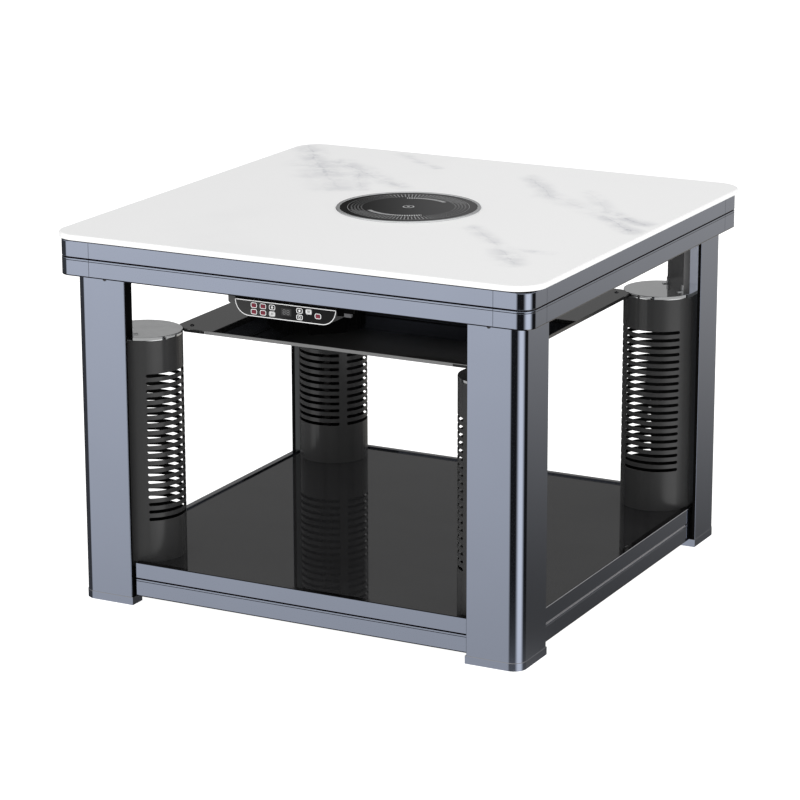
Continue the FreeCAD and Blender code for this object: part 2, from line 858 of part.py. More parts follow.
def make_hob_housing():
    """The hob's can: side vents, a floor grille below the fan and the pin that the fan turns on."""
    body = make_body("hob_housing")
    floor = housing_bottom + s.housing_wall
    inner = s.housing_radius - s.housing_wall
    pin_top = floor + s.fan_lift + s.fan_height * PIN_SHARE
    revolve(body, [
        (ZERO, housing_bottom),
        (s.housing_radius, housing_bottom),
        (s.housing_radius, ring_bottom),
        (inner, ring_bottom),
        (inner, floor),
        (s.fan_pin * 2, floor),
        (s.fan_pin * 2, floor + s.fan_lift),
        (s.fan_pin, floor + s.fan_lift),
        (s.fan_pin, pin_top),
        (ZERO, pin_top),
    ])
    vent = make_sketch(body, "YZ_Plane")
    low = floor + s.vent_rise
    draw_outline(vent, box_points(-s.vent_width / 2, low, s.vent_width / 2, low + s.vent_height))
    around(body, [pocket(body, vent, s.housing_radius + s.overrun, reverse=True)], VENTS)
    slot = make_sketch(body, "XY_Plane", floor)
    draw_outline(slot, box_points(s.grille_inner, -s.grille_width / 2, s.grille_outer, s.grille_width / 2))
    around(body, [pocket(body, slot, s.housing_wall + s.overrun)], GRILLE_BARS)
    return body


def make_hob_coil():
    """The flat coil on its carrier, on three posts that stand on the housing's floor."""
    body = make_body("hob_coil")
    top = glass_seat - s.coil_drop
    bottom = top - s.coil_thickness
    revolve(body, [
        (s.coil_inner, bottom),
        (s.coil_radius, bottom),
        (s.coil_radius, top),
        (s.coil_inner, top),
    ])
    plate = make_sketch(body, "XY_Plane", bottom - s.carrier_thickness)
    draw_circle(plate, ZERO, ZERO, s.coil_radius + s.coil_thickness)
    draw_circle(plate, ZERO, ZERO, s.coil_inner - s.coil_thickness)
    pad(body, plate, s.carrier_thickness)
    floor = housing_bottom + s.housing_wall
    post = make_sketch(body, "XY_Plane", floor)
    draw_circle(post, s.post_circle, ZERO, s.post_radius)
    around(body, [pad(body, post, bottom - s.carrier_thickness - floor)], POSTS)
    return body


def make_hob_fan():
    """A hub with raked blades, open below for the housing's pin."""
    body = make_body("hob_fan")
    bottom = housing_bottom + s.housing_wall + s.fan_lift
    bore = s.fan_pin + s.fan_bore_gap
    cap = s.fan_height * HUB_CAP_SHARE
    revolve(body, [
        (bore, bottom),
        (s.fan_hub, bottom),
        (s.fan_hub, bottom + s.fan_height),
        (ZERO, bottom + s.fan_height),
        (ZERO, bottom + s.fan_height - cap),
        (bore, bottom + s.fan_height - cap),
    ])
    root = s.fan_hub * BLADE_ROOT_SHARE
    blade = make_sketch(body, "YZ_Plane", root)
    rake = s.fan_blade_sweep / 2
    thick = s.fan_blade
    draw_outline(blade, [
        (-rake, bottom), (-rake + thick, bottom),
        (rake + thick, bottom + s.fan_height), (rake, bottom + s.fan_height),
    ])
    around(body, [pad(body, blade, s.fan_radius - root)], BLADES)
    return body


def hanging_outline(body, lift, width, height, top):
    """An outline that hangs from a level at the panel's place, and the two lower corners to round."""
    centre = s.panel_centre
    sketch = make_sketch(body, "XZ_Plane", lift)
    left, right = centre - width / 2, centre + width / 2
    draw_outline(sketch, box_points(left, top - height, right, top))
    return sketch, [(left, top - height), (right, top - height)]


def make_control_box():
    """The housing under the apron: the fascia's shape run back, an ear on each side, a tab on top.

    The recess in its front takes the board, and the tab goes up behind the apron.
    """
    body = make_body("control_box")
    for width, height, corner in (
        (s.fascia_width, s.fascia_drop + s.fascia_height, s.fascia_corner),
        (s.box_width, s.ear_height, s.ear_corner),
    ):
        sketch, corners = hanging_outline(body, box_front, width, height, s.clear_height)
        pad(body, sketch, s.box_depth, reverse=True)
        dress(body, "Fillet", corner, runs_along(LEVEL, *corners))
    recess = make_sketch(body, "XZ_Plane", box_front)
    half = s.recess_width / 2
    centre = s.panel_centre
    middle = key_centre
    draw_outline(recess, box_points(centre - half, middle - s.recess_height / 2,
                                    centre + half, middle + s.recess_height / 2))
    pocket(body, recess, s.recess_depth)
    tab = make_sketch(body, "XZ_Plane", apron_inner)
    draw_outline(tab, box_points(centre - s.tab_width / 2, s.clear_height - s.tab_thickness,
                                 centre + s.tab_width / 2, s.clear_height + s.tab_height))
    pad(body, tab, s.tab_thickness, reverse=True)
    return body


LEFT_KEYS = [(column, row) for row in (1, -1) for column in (-7, -5, -3)]
RIGHT_KEYS = [(3, 1), (3, -1), (5, 1), (7, 0)]
KEY_PLACES = LEFT_KEYS + RIGHT_KEYS


def key_place(column, row):
    """Where a key stands on the panel: half pitches to the side and half rows up."""
    across = s.panel_centre + s.key_row_shift + s.key_pitch_across * column / 2
    return across, key_centre + s.key_pitch_up * row / 2


def cut_corner_points(x, y, width, height, corner):
    """A rectangle about a centre with its corners cut off."""
    w, h, c = width / 2, height / 2, corner
    return [
        (x - w + c, y - h), (x + w - c, y - h), (x + w, y - h + c), (x + w, y + h - c),
        (x + w - c, y + h), (x - w + c, y + h), (x - w, y + h - c), (x - w, y - h + c),
    ]


def make_control_fascia():
    """The thin front of the panel, with a window for each key and one for the display."""
    body = make_body("control_fascia")
    sketch, corners = hanging_outline(body, box_front, s.fascia_width, s.fascia_height, fascia_top)
    pad(body, sketch, s.fascia_thickness)
    dress(body, "Fillet", s.fascia_corner, runs_along(LEVEL, *corners))
    windows = make_sketch(body, "XZ_Plane", fascia_front)
    for column, row in KEY_PLACES:
        x, z = key_place(column, row)
        draw_outline(windows, cut_corner_points(
            x, z, s.key_width + s.key_gap * 2, s.key_height + s.key_gap * 2, s.key_corner))
    x, z = key_place(0, 0)
    draw_outline(windows, box_points(x - s.display_width / 2, z - s.display_height / 2,
                                     x + s.display_width / 2, z + s.display_height / 2))
    pocket(body, windows, s.fascia_thickness + s.overrun)
    return body


def make_display_window():
    body = make_body("display_window")
    gap = s.key_gap
    x, z = key_place(0, 0)
    half_width, half_height = s.display_width / 2 - gap, s.display_height / 2 - gap
    sketch = make_sketch(body, "XZ_Plane", board_front)
    draw_outline(sketch, box_points(x - half_width, z - half_height, x + half_width, z + half_height))
    pad(body, sketch, fascia_front - board_front - gap)
    return body


def make_control_board():
    """The circuit board, with one small switch behind each key."""
    body = make_body("control_board")
    sketch = make_sketch(body, "XZ_Plane", board_back)
    half = s.board_width / 2
    centre = s.panel_centre
    draw_outline(sketch, box_points(centre - half, key_centre - s.board_height / 2,
                                    centre + half, key_centre + s.board_height / 2))
    pad(body, sketch, s.board_thickness)
    switches = make_sketch(body, "XZ_Plane", board_front)
    side = s.switch_side / 2
    for column, row in KEY_PLACES:
        x, z = key_place(column, row)
        draw_outline(switches, box_points(x - side, z - side, x + side, z + side))
    pad(body, switches, switch_top - board_front)
    return body


def make_key(index, column, row):
    """A key cap with a lip behind the fascia and a stem towards its switch."""
    body = make_body(f"key_{index}")
    x, z = key_place(column, row)
    cap = make_sketch(body, "XZ_Plane", box_front)
    draw_outline(cap, cut_corner_points(x, z, s.key_width, s.key_height, s.key_corner))
    pad(body, cap, s.fascia_thickness + s.key_proud)
    lip = make_sketch(body, "XZ_Plane", box_front)
    half_width, half_height = s.key_width / 2 + s.key_lip * 2, s.key_height / 2 + s.key_lip
    draw_outline(lip, box_points(x - half_width, z - half_height, x + half_width, z + half_height))
    pad(body, lip, s.key_lip_thickness, reverse=True)
    stem = make_sketch(body, "XZ_Plane", box_front - s.key_lip_thickness)
    draw_circle(stem, x, z, s.key_stem_radius)
    pad(body, stem, s.key_stem, reverse=True)
    return body


def make_sensor_clip():
    """A small block under the apron beside the panel, with a narrower foot."""
    body = make_body("sensor_clip")
    left = s.panel_centre + s.box_width / 2 + s.sensor_gap
    bottom = s.clear_height - s.sensor_height
    foot_left = left + (s.sensor_width - s.sensor_foot_width) * SENSOR_FOOT_SHARE
    sketch = make_sketch(body, "XZ_Plane", fascia_front)
    draw_outline(sketch, [
        (left, s.clear_height),
        (left, bottom),
        (foot_left, bottom),
        (foot_left, bottom - s.sensor_foot_height),
        (foot_left + s.sensor_foot_width, bottom - s.sensor_foot_height),
        (foot_left + s.sensor_foot_width, bottom),
        (left + s.sensor_width, bottom),
        (left + s.sensor_width, s.clear_height),
    ])
    pad(body, sketch, s.sensor_depth, reverse=True)
    return body


def check(items):
    """Stops before anything is written if an object failed or a shape is not sound."""
    doc.recompute()
    for item in doc.Objects:
        if "Invalid" in item.State or "Error" in item.State:
            raise ValueError(f"{item.Label} failed: {item.State}")
    for item in items:
        if item.Shape.isNull() or not item.Shape.isValid() or not item.Shape.Solids:
            raise ValueError(f"{item.Label} has no sound shape")


def main():
    parts = [make_stone_top(), make_hob_trim_ring(), make_hob_glass(), make_hob_housing(),
             make_hob_coil(), make_hob_fan(), make_lower_shelf(), make_heat_shield(),
             make_control_box(), make_control_fascia(), make_display_window(),
             make_control_board(), make_sensor_clip()]
    feet, blocks, clips, brackets, screws = [], [], [], [], []
    for index in range(QUARTERS):
        turn = index * 90
        side, quarter = SIDE_NAMES[index], QUARTER_NAMES[index]
        parts += [make_apron(side, turn), make_rail(side, turn), make_apron_corner(quarter, turn),
                  make_leg(quarter, turn), make_heater_shell(quarter, turn),
                  make_heater_cap(quarter, turn), make_heater_element(quarter, turn),
                  make_corner_strut(quarter, turn)]
        feet.append(make_foot_cap(quarter, turn))
        blocks.append(make_corner_block(quarter, turn))
        clips += make_strut_clips(quarter, turn)
        brackets.append(make_shield_bracket(quarter, turn))
        screws += [make_leg_screw(quarter, turn), make_shield_screw(quarter, turn)]
    for index, (column, row) in enumerate(KEY_PLACES, start=1):
        parts.append(make_key(index, column, row))
    parts += [gather("foot_caps", feet), gather("corner_blocks", blocks), gather("strut_clips", clips),
              gather("shield_brackets", brackets), gather("screws", screws)]
    check(parts)
    os.makedirs("parts", exist_ok=True)
    for item in parts:
        item.Shape.exportStep(f"parts/{item.Label}.step")
    print(len(parts), "parts written")


main()
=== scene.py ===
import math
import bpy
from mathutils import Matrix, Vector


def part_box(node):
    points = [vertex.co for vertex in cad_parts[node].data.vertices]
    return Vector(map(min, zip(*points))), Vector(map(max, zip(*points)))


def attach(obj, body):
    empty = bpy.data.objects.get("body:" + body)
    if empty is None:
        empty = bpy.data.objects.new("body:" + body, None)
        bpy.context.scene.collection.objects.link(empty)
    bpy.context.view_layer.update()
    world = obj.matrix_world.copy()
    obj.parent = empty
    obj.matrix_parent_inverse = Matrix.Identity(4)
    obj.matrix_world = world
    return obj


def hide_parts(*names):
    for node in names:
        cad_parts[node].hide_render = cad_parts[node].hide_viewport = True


bl_info = {
    "name": "Electric heating table",
    "version": (1, 0, 0),
    "blender": (4, 5, 0),
    "location": "3D View > Sidebar > Heating Table",
    "description": "Dresses a square heating table: stone top, hob, aluminium frame, heaters and key panel",
    "category": "Object",
}

import bmesh
import bpy
from bpy.props import FloatProperty, FloatVectorProperty, IntProperty, PointerProperty
from mathutils import Matrix, Vector

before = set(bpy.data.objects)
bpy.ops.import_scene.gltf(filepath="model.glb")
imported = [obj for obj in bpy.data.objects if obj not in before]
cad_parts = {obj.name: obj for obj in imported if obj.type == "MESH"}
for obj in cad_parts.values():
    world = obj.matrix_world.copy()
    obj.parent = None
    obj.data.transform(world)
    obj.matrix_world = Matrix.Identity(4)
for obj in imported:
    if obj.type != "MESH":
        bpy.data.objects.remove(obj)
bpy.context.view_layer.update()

TABLE = "table"
MM = 0.001
QUARTERS = ("back_right", "back_left", "front_left", "front_right")
SIDES = ("front", "right", "back", "left")

# Steps in a large corner, in a corner of up to 2 mm and in a full turn
ARC_STEPS = 20
FINE_STEPS = 5
ROUND_STEPS = 192

# Edges sharper than this stay sharp, and faces this square to an axis count as flats
SHARP = math.radians(32)
LEVEL = 0.99999

# The grooved section: half the groove's mouth, how far the fine line lies below it, half the line
GROOVE_MOUTH = 1.4 * MM
LINE_DROP = 4.4 * MM
LINE_HALF = 0.5 * MM

# The heater at the back right: direction of the table's middle, half of the round part, folded corner
# and the radius of its rod
INWARDS = math.radians(225)
ROUND_HALF = math.radians(135)
FOLD = 3 * MM
ROD_RADIUS = 7.8 * MM

# Depth of a bump, how far up an underside painted black as shade reaches, and the near black of painted
# shade
BUMP_DEPTH = MM / 10
PAINTED_SHADE_SKIN = 0.3 * MM
PAINTED_SHADE_BLACK = (0.004, 0.004, 0.004)


# Sizes and colours that a user may change

def length(name, text, default, **more):
    return FloatProperty(name=name, description=text, default=default, subtype="DISTANCE", unit="LENGTH",
                         min=0.0, precision=4, **more)


def colour(name, text, default):
    return FloatVectorProperty(name=name, description=text, default=default, subtype="COLOR", size=3,
                               min=0.0, max=1.0)


def share(name, text, default):
    return FloatProperty(name=name, description=text, default=default, min=0.0, max=1.0, subtype="FACTOR")


class TopSettings(bpy.types.PropertyGroup):
    corner: length("Corner radius", "Radius of the slab's corners seen from above", 0.050)
    edge: length("Edge round", "Radius of the slab's upper edge", 0.0025)
    # The undercut's near-black backing is painted shade.
    undercut: length("Undercut", "How far the dark backing slopes in under the slab's edge", 0.009)
    undercut_height: length("Undercut height", "Height of the sloping backing", 0.0035)
    hole: length("Cut-out radius", "Radius of the hole for the hob", 0.122)
    stone: colour("Stone", "Ground colour of the stone", (0.94, 0.94, 0.94))
    vein: colour("Vein", "Colour of the veins at their deepest", (0.40, 0.41, 0.46))
    wander: length("Vein wander", "How far the veins stray from their lines", 0.045)


class HobSettings(bpy.types.PropertyGroup):
    glass: colour("Glass", "Colour of the glass ceramic", (0.012, 0.012, 0.013))
    printed: colour("Print", "Colour of the marks printed on the glass", (0.50, 0.505, 0.51))
    ticks: IntProperty(name="Ticks", description="Strokes round the cooking zone", default=96, min=12)
    rim: colour("Rim", "Colour of the trim ring", (0.78, 0.79, 0.80))


class MetalSettings(bpy.types.PropertyGroup):
    anodised: colour("Anodised", "Colour of the aluminium sections", (0.445, 0.49, 0.605))
    gloss: share("Roughness", "Roughness of the anodised faces", 0.07)
    leg_corner: length("Leg corner", "Outer radius of a leg's corner", 0.022)
    leg_wall: length("Leg wall", "Wall of a leg", 0.003)
    leg_lip: length("Leg lip", "Depth of the lip along a leg's free edge", 0.006)
    softness: length("Edge softness", "Radius that sharp extruded edges are eased by", 0.0004)
    foot_arris: length("Foot arris", "Chamfer on a foot's upper outer edge", 0.0006)
    foot_end: length("Foot end", "How far a foot stands out past the leg's free edges", 0.002)
    foot_arm: length("Foot arm", "Thickness of a foot's arms", 0.031)
    apron_corner: length("Apron corner", "Outer radius of the apron's corners", 0.024)
    seam: length("Seam", "Open joint between apron corner and apron", 0.0007)
    groove: length("Groove", "How far the groove's middle lies below a section's top", 0.0287)


class HeaterSettings(bpy.types.PropertyGroup):
    wall: length("Sheet", "Thickness of the heater's sheet", 0.0012)
    slots: IntProperty(name="Slots", description="Slots in each bank", default=20, min=1)
    slot: length("Slot height", "Height of one slot", 0.006)
    pitch: length("Slot pitch", "Distance from slot to slot", 0.0134)
    lowest: length("Lowest slot", "Middle of the lowest slot above the shelf", 0.0764)
    first: FloatProperty(name="First", description="Where a bank starts beside the diagonal",
                         default=math.radians(6.5), subtype="ANGLE")
    span: FloatProperty(name="Span", description="How far a bank runs round the shell",
                        default=math.radians(96.5), subtype="ANGLE")
    paint: colour("Paint", "Colour of the heater's coating", (0.043, 0.043, 0.0435))
    cap: colour("Cap", "Colour of the polished caps", (0.90, 0.91, 0.92))
    wire: length("Wire", "Radius of the heating wire", 0.0011)
    turns: IntProperty(name="Turns", description="Turns of wire on a heating rod", default=64, min=4)


class PanelSettings(bpy.types.PropertyGroup):
    black: colour("Panel", "Colour of the panel's gloss face", (0.016, 0.016, 0.016))
    printed: colour("Print", "Colour of the light print", (0.86, 0.86, 0.86))
    red: colour("Red print", "Colour of the red symbols", (0.30, 0.008, 0.04))
    line: length("Outline", "Width of the printed outline", 0.0013)
    ink: length("Ink", "How far the print stands proud", 0.00008)
    key_corner: length("Key corner", "Radius of a key's corners", 0.0034)
    key_edge: length("Key edge", "Radius that a key's front edge is eased by", 0.0004)


class StageSettings(bpy.types.PropertyGroup):
    floor: colour("Floor", "Colour of the floor", (0.36, 0.36, 0.36))
    floor_size: length("Floor size", "Side of the floor", 60.0)
    lens: FloatProperty(name="Lens", description="Focal length in millimetres", default=143.4455, min=1.0)
    place: FloatVectorProperty(name="Camera", description="Where the camera stands", size=3,
                               subtype="TRANSLATION", default=(2.48872, -4.81767, 1.80396))
    aim: FloatVectorProperty(name="Aim", description="What the camera looks at", size=3,
                             subtype="TRANSLATION", default=(0.13136, -0.28609, 0.39055))
    roll: FloatProperty(name="Roll", description="Turn about the line of sight", subtype="ANGLE",
                        default=math.radians(-0.13))
    daylight: FloatProperty(name="Daylight", description="Strength of the even light", default=1.0, min=0.0)
    fill: FloatProperty(name="Fill", description="Power of the front light in watts", default=15.0, min=0.0)


SETTINGS = {
    "table_top": TopSettings, "table_hob": HobSettings, "table_metal": MetalSettings,
    "table_heater": HeaterSettings, "table_panel": PanelSettings, "table_stage": StageSettings,
}


# Shader maths

class Wire:
    """A socket that can stand in a sum: each sign adds its own Math node."""

    def __init__(self, nodes, socket):
        self.nodes = nodes
        self.socket = socket

    def __add__(self, other):
        return self.nodes.math("ADD", self, other)

    def __sub__(self, other):
        return self.nodes.math("SUBTRACT", self, other)

    def __rsub__(self, other):
        return self.nodes.math("SUBTRACT", other, self)

    def __mul__(self, other):
        return self.nodes.math("MULTIPLY", self, other)

    def __abs__(self):
        return self.nodes.math("ABSOLUTE", self)

    def __gt__(self, other):
        return self.nodes.math("GREATER_THAN", self, other)

    def __lt__(self, other):
        return self.nodes.math("LESS_THAN", self, other)

    __radd__ = __add__
    __rmul__ = __mul__


class Nodes:
    """Adds nodes to a material's or a world's tree."""

    def __init__(self, owner):
        owner.use_nodes = True
        self.tree = owner.node_tree
        self.tree.nodes.clear()

    def add(self, kind, settings=None, sockets=None, output=0):
        node = self.tree.nodes.new(f"ShaderNode{kind}")
        for name, value in (settings or {}).items():
            setattr(node, name, value)
        for name, value in (sockets or {}).items():
            socket = node.inputs[name]
            if isinstance(value, Wire):
                self.tree.links.new(value.socket, socket)
            else:
                socket.default_value = value
        return Wire(self, node.outputs[output]) if node.outputs else None

    def outputs(self, wire):
        return [Wire(self, socket) for socket in wire.socket.node.outputs]

    def math(self, operation, *values, clamp=False):
        return self.add("Math", {"operation": operation, "use_clamp": clamp}, dict(enumerate(values)))

    def mix(self, factor, first, second):
        return self.add("Mix", {"data_type": "RGBA"}, {0: factor, 6: rgba(first), 7: rgba(second)}, 2)

    def most(self, *values):
        """The greatest of several values."""
        first, *others = values
        for other in others:
            first = self.math("MAXIMUM", first, other)
        return first

    def vector(self, operation, first, second):
        return self.add("VectorMath", {"operation": operation}, {0: first, 1: second})

    def ease(self, value, low, high, start=0.0, stop=1.0):
        """Turns low..high of a value smoothly into start..stop."""
        return self.add("MapRange", {"interpolation_type": "SMOOTHSTEP"},
                        {0: value, 1: low, 2: high, 3: start, 4: stop})

    def place(self):
        return self.add("TexCoord", output="Object")

    def split(self, vector):
        return self.outputs(self.add("SeparateXYZ", None, {0: vector}))

    def noise(self, vector, scale, detail=2.0, roughness=0.5, output=0):
        return self.add("TexNoise", None, {"Vector": vector, "Scale": scale, "Detail": detail,
                                           "Roughness": roughness}, output)

    def mottle(self, vector, scale, detail, roughness=0.5):
        """Soft patches, from zero to one."""
        return self.ease(self.noise(vector, scale, detail, roughness), 0.3, 0.7)


def rgba(value):
    return value if isinstance(value, Wire) or len(value) == 4 else (*value, 1.0)


def darker(tint, factor):
    return [part * factor for part in tint]


def new_finish(name):
    """A new material, its nodes and the place on the piece."""
    material = bpy.data.materials.new(name)
    nodes = Nodes(material)
    return material, nodes, nodes.place()


def close_finish(nodes, base, roughness, metallic=0.0, bump=None, strength=0.2, **fixed):
    """Ends a material in one Principled shader. The values in fixed are named as its sockets."""
    sockets = {"Base Color": rgba(base), "Roughness": roughness, "Metallic": metallic}
    sockets.update({name.replace("_", " ").title().replace("Ior", "IOR"): value
                    for name, value in fixed.items()})
    if bump is not None:
        sockets["Normal"] = nodes.add("Bump", None,
                                      {"Strength": strength, "Distance": BUMP_DEPTH, "Height": bump})
    shader = nodes.add("BsdfPrincipled", None, sockets)
    nodes.add("OutputMaterial", None, {"Surface": shader})


# Finishes

STONE_VEINS = (
    # start and end in metres on the top, half width, depth of colour
    ((-0.440, 0.430), (-0.330, 0.270), 0.012, 0.60),
    ((-0.330, 0.270), (-0.200, 0.105), 0.022, 0.60),
    ((-0.300, 0.300), (-0.185, 0.215), 0.014, 0.60),
    ((-0.185, 0.215), (-0.095, 0.155), 0.010, 0.60),
    ((-0.225, 0.235), (-0.150, 0.105), 0.009, 0.60),
    ((-0.235, 0.425), (-0.118, 0.335), 0.006, 0.60),
    ((0.072, 0.340), (0.175, 0.196), 0.009, 0.50),
    ((0.175, 0.196), (0.325, 0.101), 0.013, 0.55),
    ((0.325, 0.101), (0.425, -0.005), 0.009, 0.80),
    ((0.231, 0.253), (0.320, 0.125), 0.009, 0.65),
    ((0.320, 0.125), (0.425, 0.060), 0.009, 0.90),
    ((0.170, -0.091), (0.287, -0.222), 0.008, 0.65),
    ((0.287, -0.222), (0.345, -0.305), 0.012, 0.62),
    ((0.308, -0.216), (0.368, -0.216), 0.006, 0.45),
)


def line_distance(nodes, x, y, start, end):
    """How far each point of the surface lies from a straight run between two places."""
    run = Vector(end) - Vector(start)
    from_x, from_y = x - start[0], y - start[1]
    along = nodes.math("MULTIPLY", from_x * run.x + from_y * run.y, 1 / run.length_squared, clamp=True)
    off_x, off_y = from_x - along * run.x, from_y - along * run.y
    return nodes.math("SQRT", off_x * off_x + off_y * off_y)


def stone_finish(look):
    """White stone: each vein is a fine thread in a wider cloud, broken up by noise."""
    thread_width, cloud_width, cloud_depth = 0.45, 3.4, 0.62
    material, nodes, place = new_finish("white_stone")
    stray = nodes.vector("SUBTRACT", nodes.noise(place, 8.0, 7.0, 0.72, output=1), (0.5, 0.5, 0.5))
    stray = nodes.add("VectorMath", {"operation": "SCALE"}, {0: stray, 3: look.wander})
    x, y, _ = nodes.split(nodes.vector("ADD", place, stray))
    veins = []
    for start, end, half, depth in STONE_VEINS:
        away = line_distance(nodes, x, y, start, end)
        veins.append(nodes.ease(away, half * thread_width, 0.0, 0.0, depth))
        veins.append(nodes.ease(away, half * cloud_width, 0.0, 0.0, depth * cloud_depth))
    fine = nodes.ease(nodes.noise(place, 24.0, 6.0, 0.7), 0.36, 0.60, 0.15, 1.0)
    breakup = fine * nodes.ease(nodes.noise(place, 6.5, 2.0), 0.36, 0.56, 0.5, 1.0)
    clouds = nodes.ease(nodes.noise(place, 3.0, 3.0), 0.55, 0.80, 0.0, 0.06)
    amount = nodes.most(*veins) * breakup + clouds
    base = nodes.mix(amount, look.stone, look.vein)
    close_finish(nodes, base, nodes.ease(amount, 0.0, 0.6, 0.34, 0.30))
    return material


def anodised(nodes, place, look):
    """Colour and roughness of smooth anodised aluminium."""
    broad = nodes.mottle(place, 6.0, 2.0)
    return nodes.mix(broad, look.anodised, darker(look.anodised, 0.98)), broad * 0.02 + (look.gloss - 0.01)


def anodised_finish(name, look, lines=()):
    """Anodised aluminium with level lines of painted shade and painted highlight.

    Each line has its lower and upper height, and its painted tone on the front, on the right and elsewhere.
    """
    material, nodes, place = new_finish(name)
    base, rough = anodised(nodes, place, look)
    x, y, height = nodes.split(place)
    right, front = x > abs(y), (0.0 - y) > abs(x)
    # Each line lays a band of painted shade or painted highlight on the metal.
    for low, high, *tones in lines:
        ahead, aside, other = [(tone, tone, tone * 1.04) for tone in tones]
        tone = nodes.mix(right, nodes.mix(front, other, ahead), aside)
        base = nodes.mix((height > low) * (height < high), base, tone)
    close_finish(nodes, base, rough, 1.0)
    return material


def coated_finish(name, tint, rough, grain=500.0, strength=0.15, **fixed):
    """Paint, powder coat or moulded plastic: an even colour with a fine orange-peel surface."""
    material, nodes, place = new_finish(name)
    tone = nodes.noise(place, 8.0, 3.0)
    base = nodes.mix(nodes.ease(tone, 0.3, 0.7), tint, darker(tint, 0.88))
    close_finish(nodes, base, nodes.ease(tone, 0.25, 0.75, rough - 0.04, rough + 0.04),
                 bump=nodes.noise(place, grain), strength=strength, **fixed)
    return material


def polished_finish(name, tint, rough, grain=(40.0, 40.0, 40.0)):
    """Bright metal with a trace of the polishing mop."""
    material, nodes, place = new_finish(name)
    mop = nodes.mottle(nodes.vector("MULTIPLY", place, grain), 1.0, 4.0, 0.6)
    close_finish(nodes, nodes.mix(mop, tint, darker(tint, 0.95)), mop * 0.05 + rough, 1.0)
    return material


def glass_finish(name, tint, rough, ior):
    """Dark glass: black behind a clear face, with the odd wipe mark."""
    material, nodes, place = new_finish(name)
    wipe = nodes.noise(nodes.vector("MULTIPLY", place, (5.0, 14.0, 5.0)), 1.0, 4.0, 0.6)
    base = nodes.mix(nodes.ease(wipe, 0.3, 0.8), tint, darker(tint, 0.8))
    close_finish(nodes, base, nodes.ease(wipe, 0.45, 0.8, rough, rough + 0.05), ior=ior)
    return material


def hob_finish(look, radius):
    """Glass ceramic with rings of ticks round the zone and two arcs of dots, all plain marks, and a painted
    reflection that fades the glass to black towards the camera's left.

    Places are shares of the radius, and angles are shares of a turn.
    """
    zone_start, zone_end, ring_pitch = 0.675, 0.865, 0.0475
    camera_right = (0.888, 0.459)
    material, nodes, place = new_finish("hob_glass_print")
    x, y, _ = nodes.split(place)
    away = nodes.math("SQRT", x * x + y * y) * (1 / radius)
    angle = nodes.math("ARCTAN2", y, x) * (1 / math.tau) + 0.5
    depth = abs(y) * (1 / radius)

    def between(value, low, high):
        return (value > low) * (value < high)

    stroke = nodes.math("FRACT", angle * look.ticks) < 0.33
    ring = nodes.math("FRACT", (away - zone_start) * (1 / ring_pitch)) < 0.5
    ring = nodes.most(ring, nodes.ease(depth, 0.50, 0.58))
    ticks = between(away, zone_start, zone_end) * ring * stroke
    sides = nodes.ease(depth, 0.1, 0.55, 0.24, 0.5)
    dots = nodes.math("FRACT", angle * 110.0) < 0.6
    arcs = between(away, 0.575, 0.640) * dots * (between(angle, 0.658, 0.831) + between(angle, 0.133, 0.375))
    pip = between(away, 0.068, 0.085) + (away < 0.022)
    marks = nodes.most(ticks * sides, between(away, 0.882, 0.891) * sides, arcs, pip)
    speck = nodes.ease(nodes.noise(place, 700.0), 0.55, 0.75)
    glass = nodes.mix(speck, look.glass, darker(look.glass, 1.3))
    # Painted reflection: the glass fades to black towards the camera's left.
    across = x * camera_right[0] + y * camera_right[1]
    glass = nodes.mix(nodes.ease(across, -0.75 * radius, 0.35 * radius), (0.0, 0.0, 0.0), glass)
    close_finish(nodes, nodes.mix(marks, glass, look.printed), marks * 0.3 + 0.06, ior=1.16)
    return material


# Mesh shapes

def rounded(points, radii, steps=ARC_STEPS):
    """An outline whose corners are rounded, each by its own radius."""
    outline = []
    for i, (point, radius) in enumerate(zip(points, radii)):
        corner = Vector(point)
        if not radius:
            outline.append(corner)
            continue
        before = (Vector(points[i - 1]) - corner).normalized()
        after = (Vector(points[(i + 1) % len(points)]) - corner).normalized()
        half = before.angle(after) / 2
        centre = corner + (before + after).normalized() * (radius / math.sin(half))
        reach = radius / math.tan(half)
        first, last = corner + before * reach - centre, corner + after * reach - centre
        count = steps if radius > MM * 2 else FINE_STEPS
        outline += [centre + first.slerp(last, step / count) * radius for step in range(count + 1)]
    return outline


def circle_point(angle, radius=1.0):
    return Vector((math.cos(angle), math.sin(angle))) * radius


def rounded_box(half_width, half_height, radius, steps=ARC_STEPS):
    """A box about the origin, with equal round corners."""
    corners = [(-half_width, -half_height), (half_width, -half_height), (half_width, half_height),
               (-half_width, half_height)]
    return rounded(corners, [radius] * 4, steps)


def at_height(outline, z):
    return [Vector((point.x, point.y, z)) for point in outline]


def on_front(outline, y):
    """Stands an outline of x and z up on a plane that faces the front."""
    return [Vector((point.x, y, point.y)) for point in outline]


def loft(rings, closed=False):
    """Joins rings of points by a skin, and closes its ends unless the rings run round."""
    mesh = bmesh.new()
    rows = [[mesh.verts.new(point) for point in ring] for ring in rings]
    for low, high in zip(rows, rows[1:] + rows[:closed]):
        for i, point in enumerate(low):
            after = (i + 1) % len(low)
            mesh.faces.new((point, low[after], high[after], high[i]))
    if not closed:
        mesh.faces.new(rows[0])
        mesh.faces.new(rows[-1])
    bmesh.ops.remove_doubles(mesh, verts=mesh.verts, dist=MM / 200)
    bmesh.ops.recalc_face_normals(mesh, faces=mesh.faces)
    return mesh


def revolve(profile):
    """Turns a closed profile of radius and height about the upright axis."""
    rings = []
    for step in range(ROUND_STEPS):
        ray = circle_point(math.tau * step / ROUND_STEPS)
        rings.append([Vector((point.x * ray.x, point.x * ray.y, point.y)) for point in profile])
    return loft(rings, closed=True)


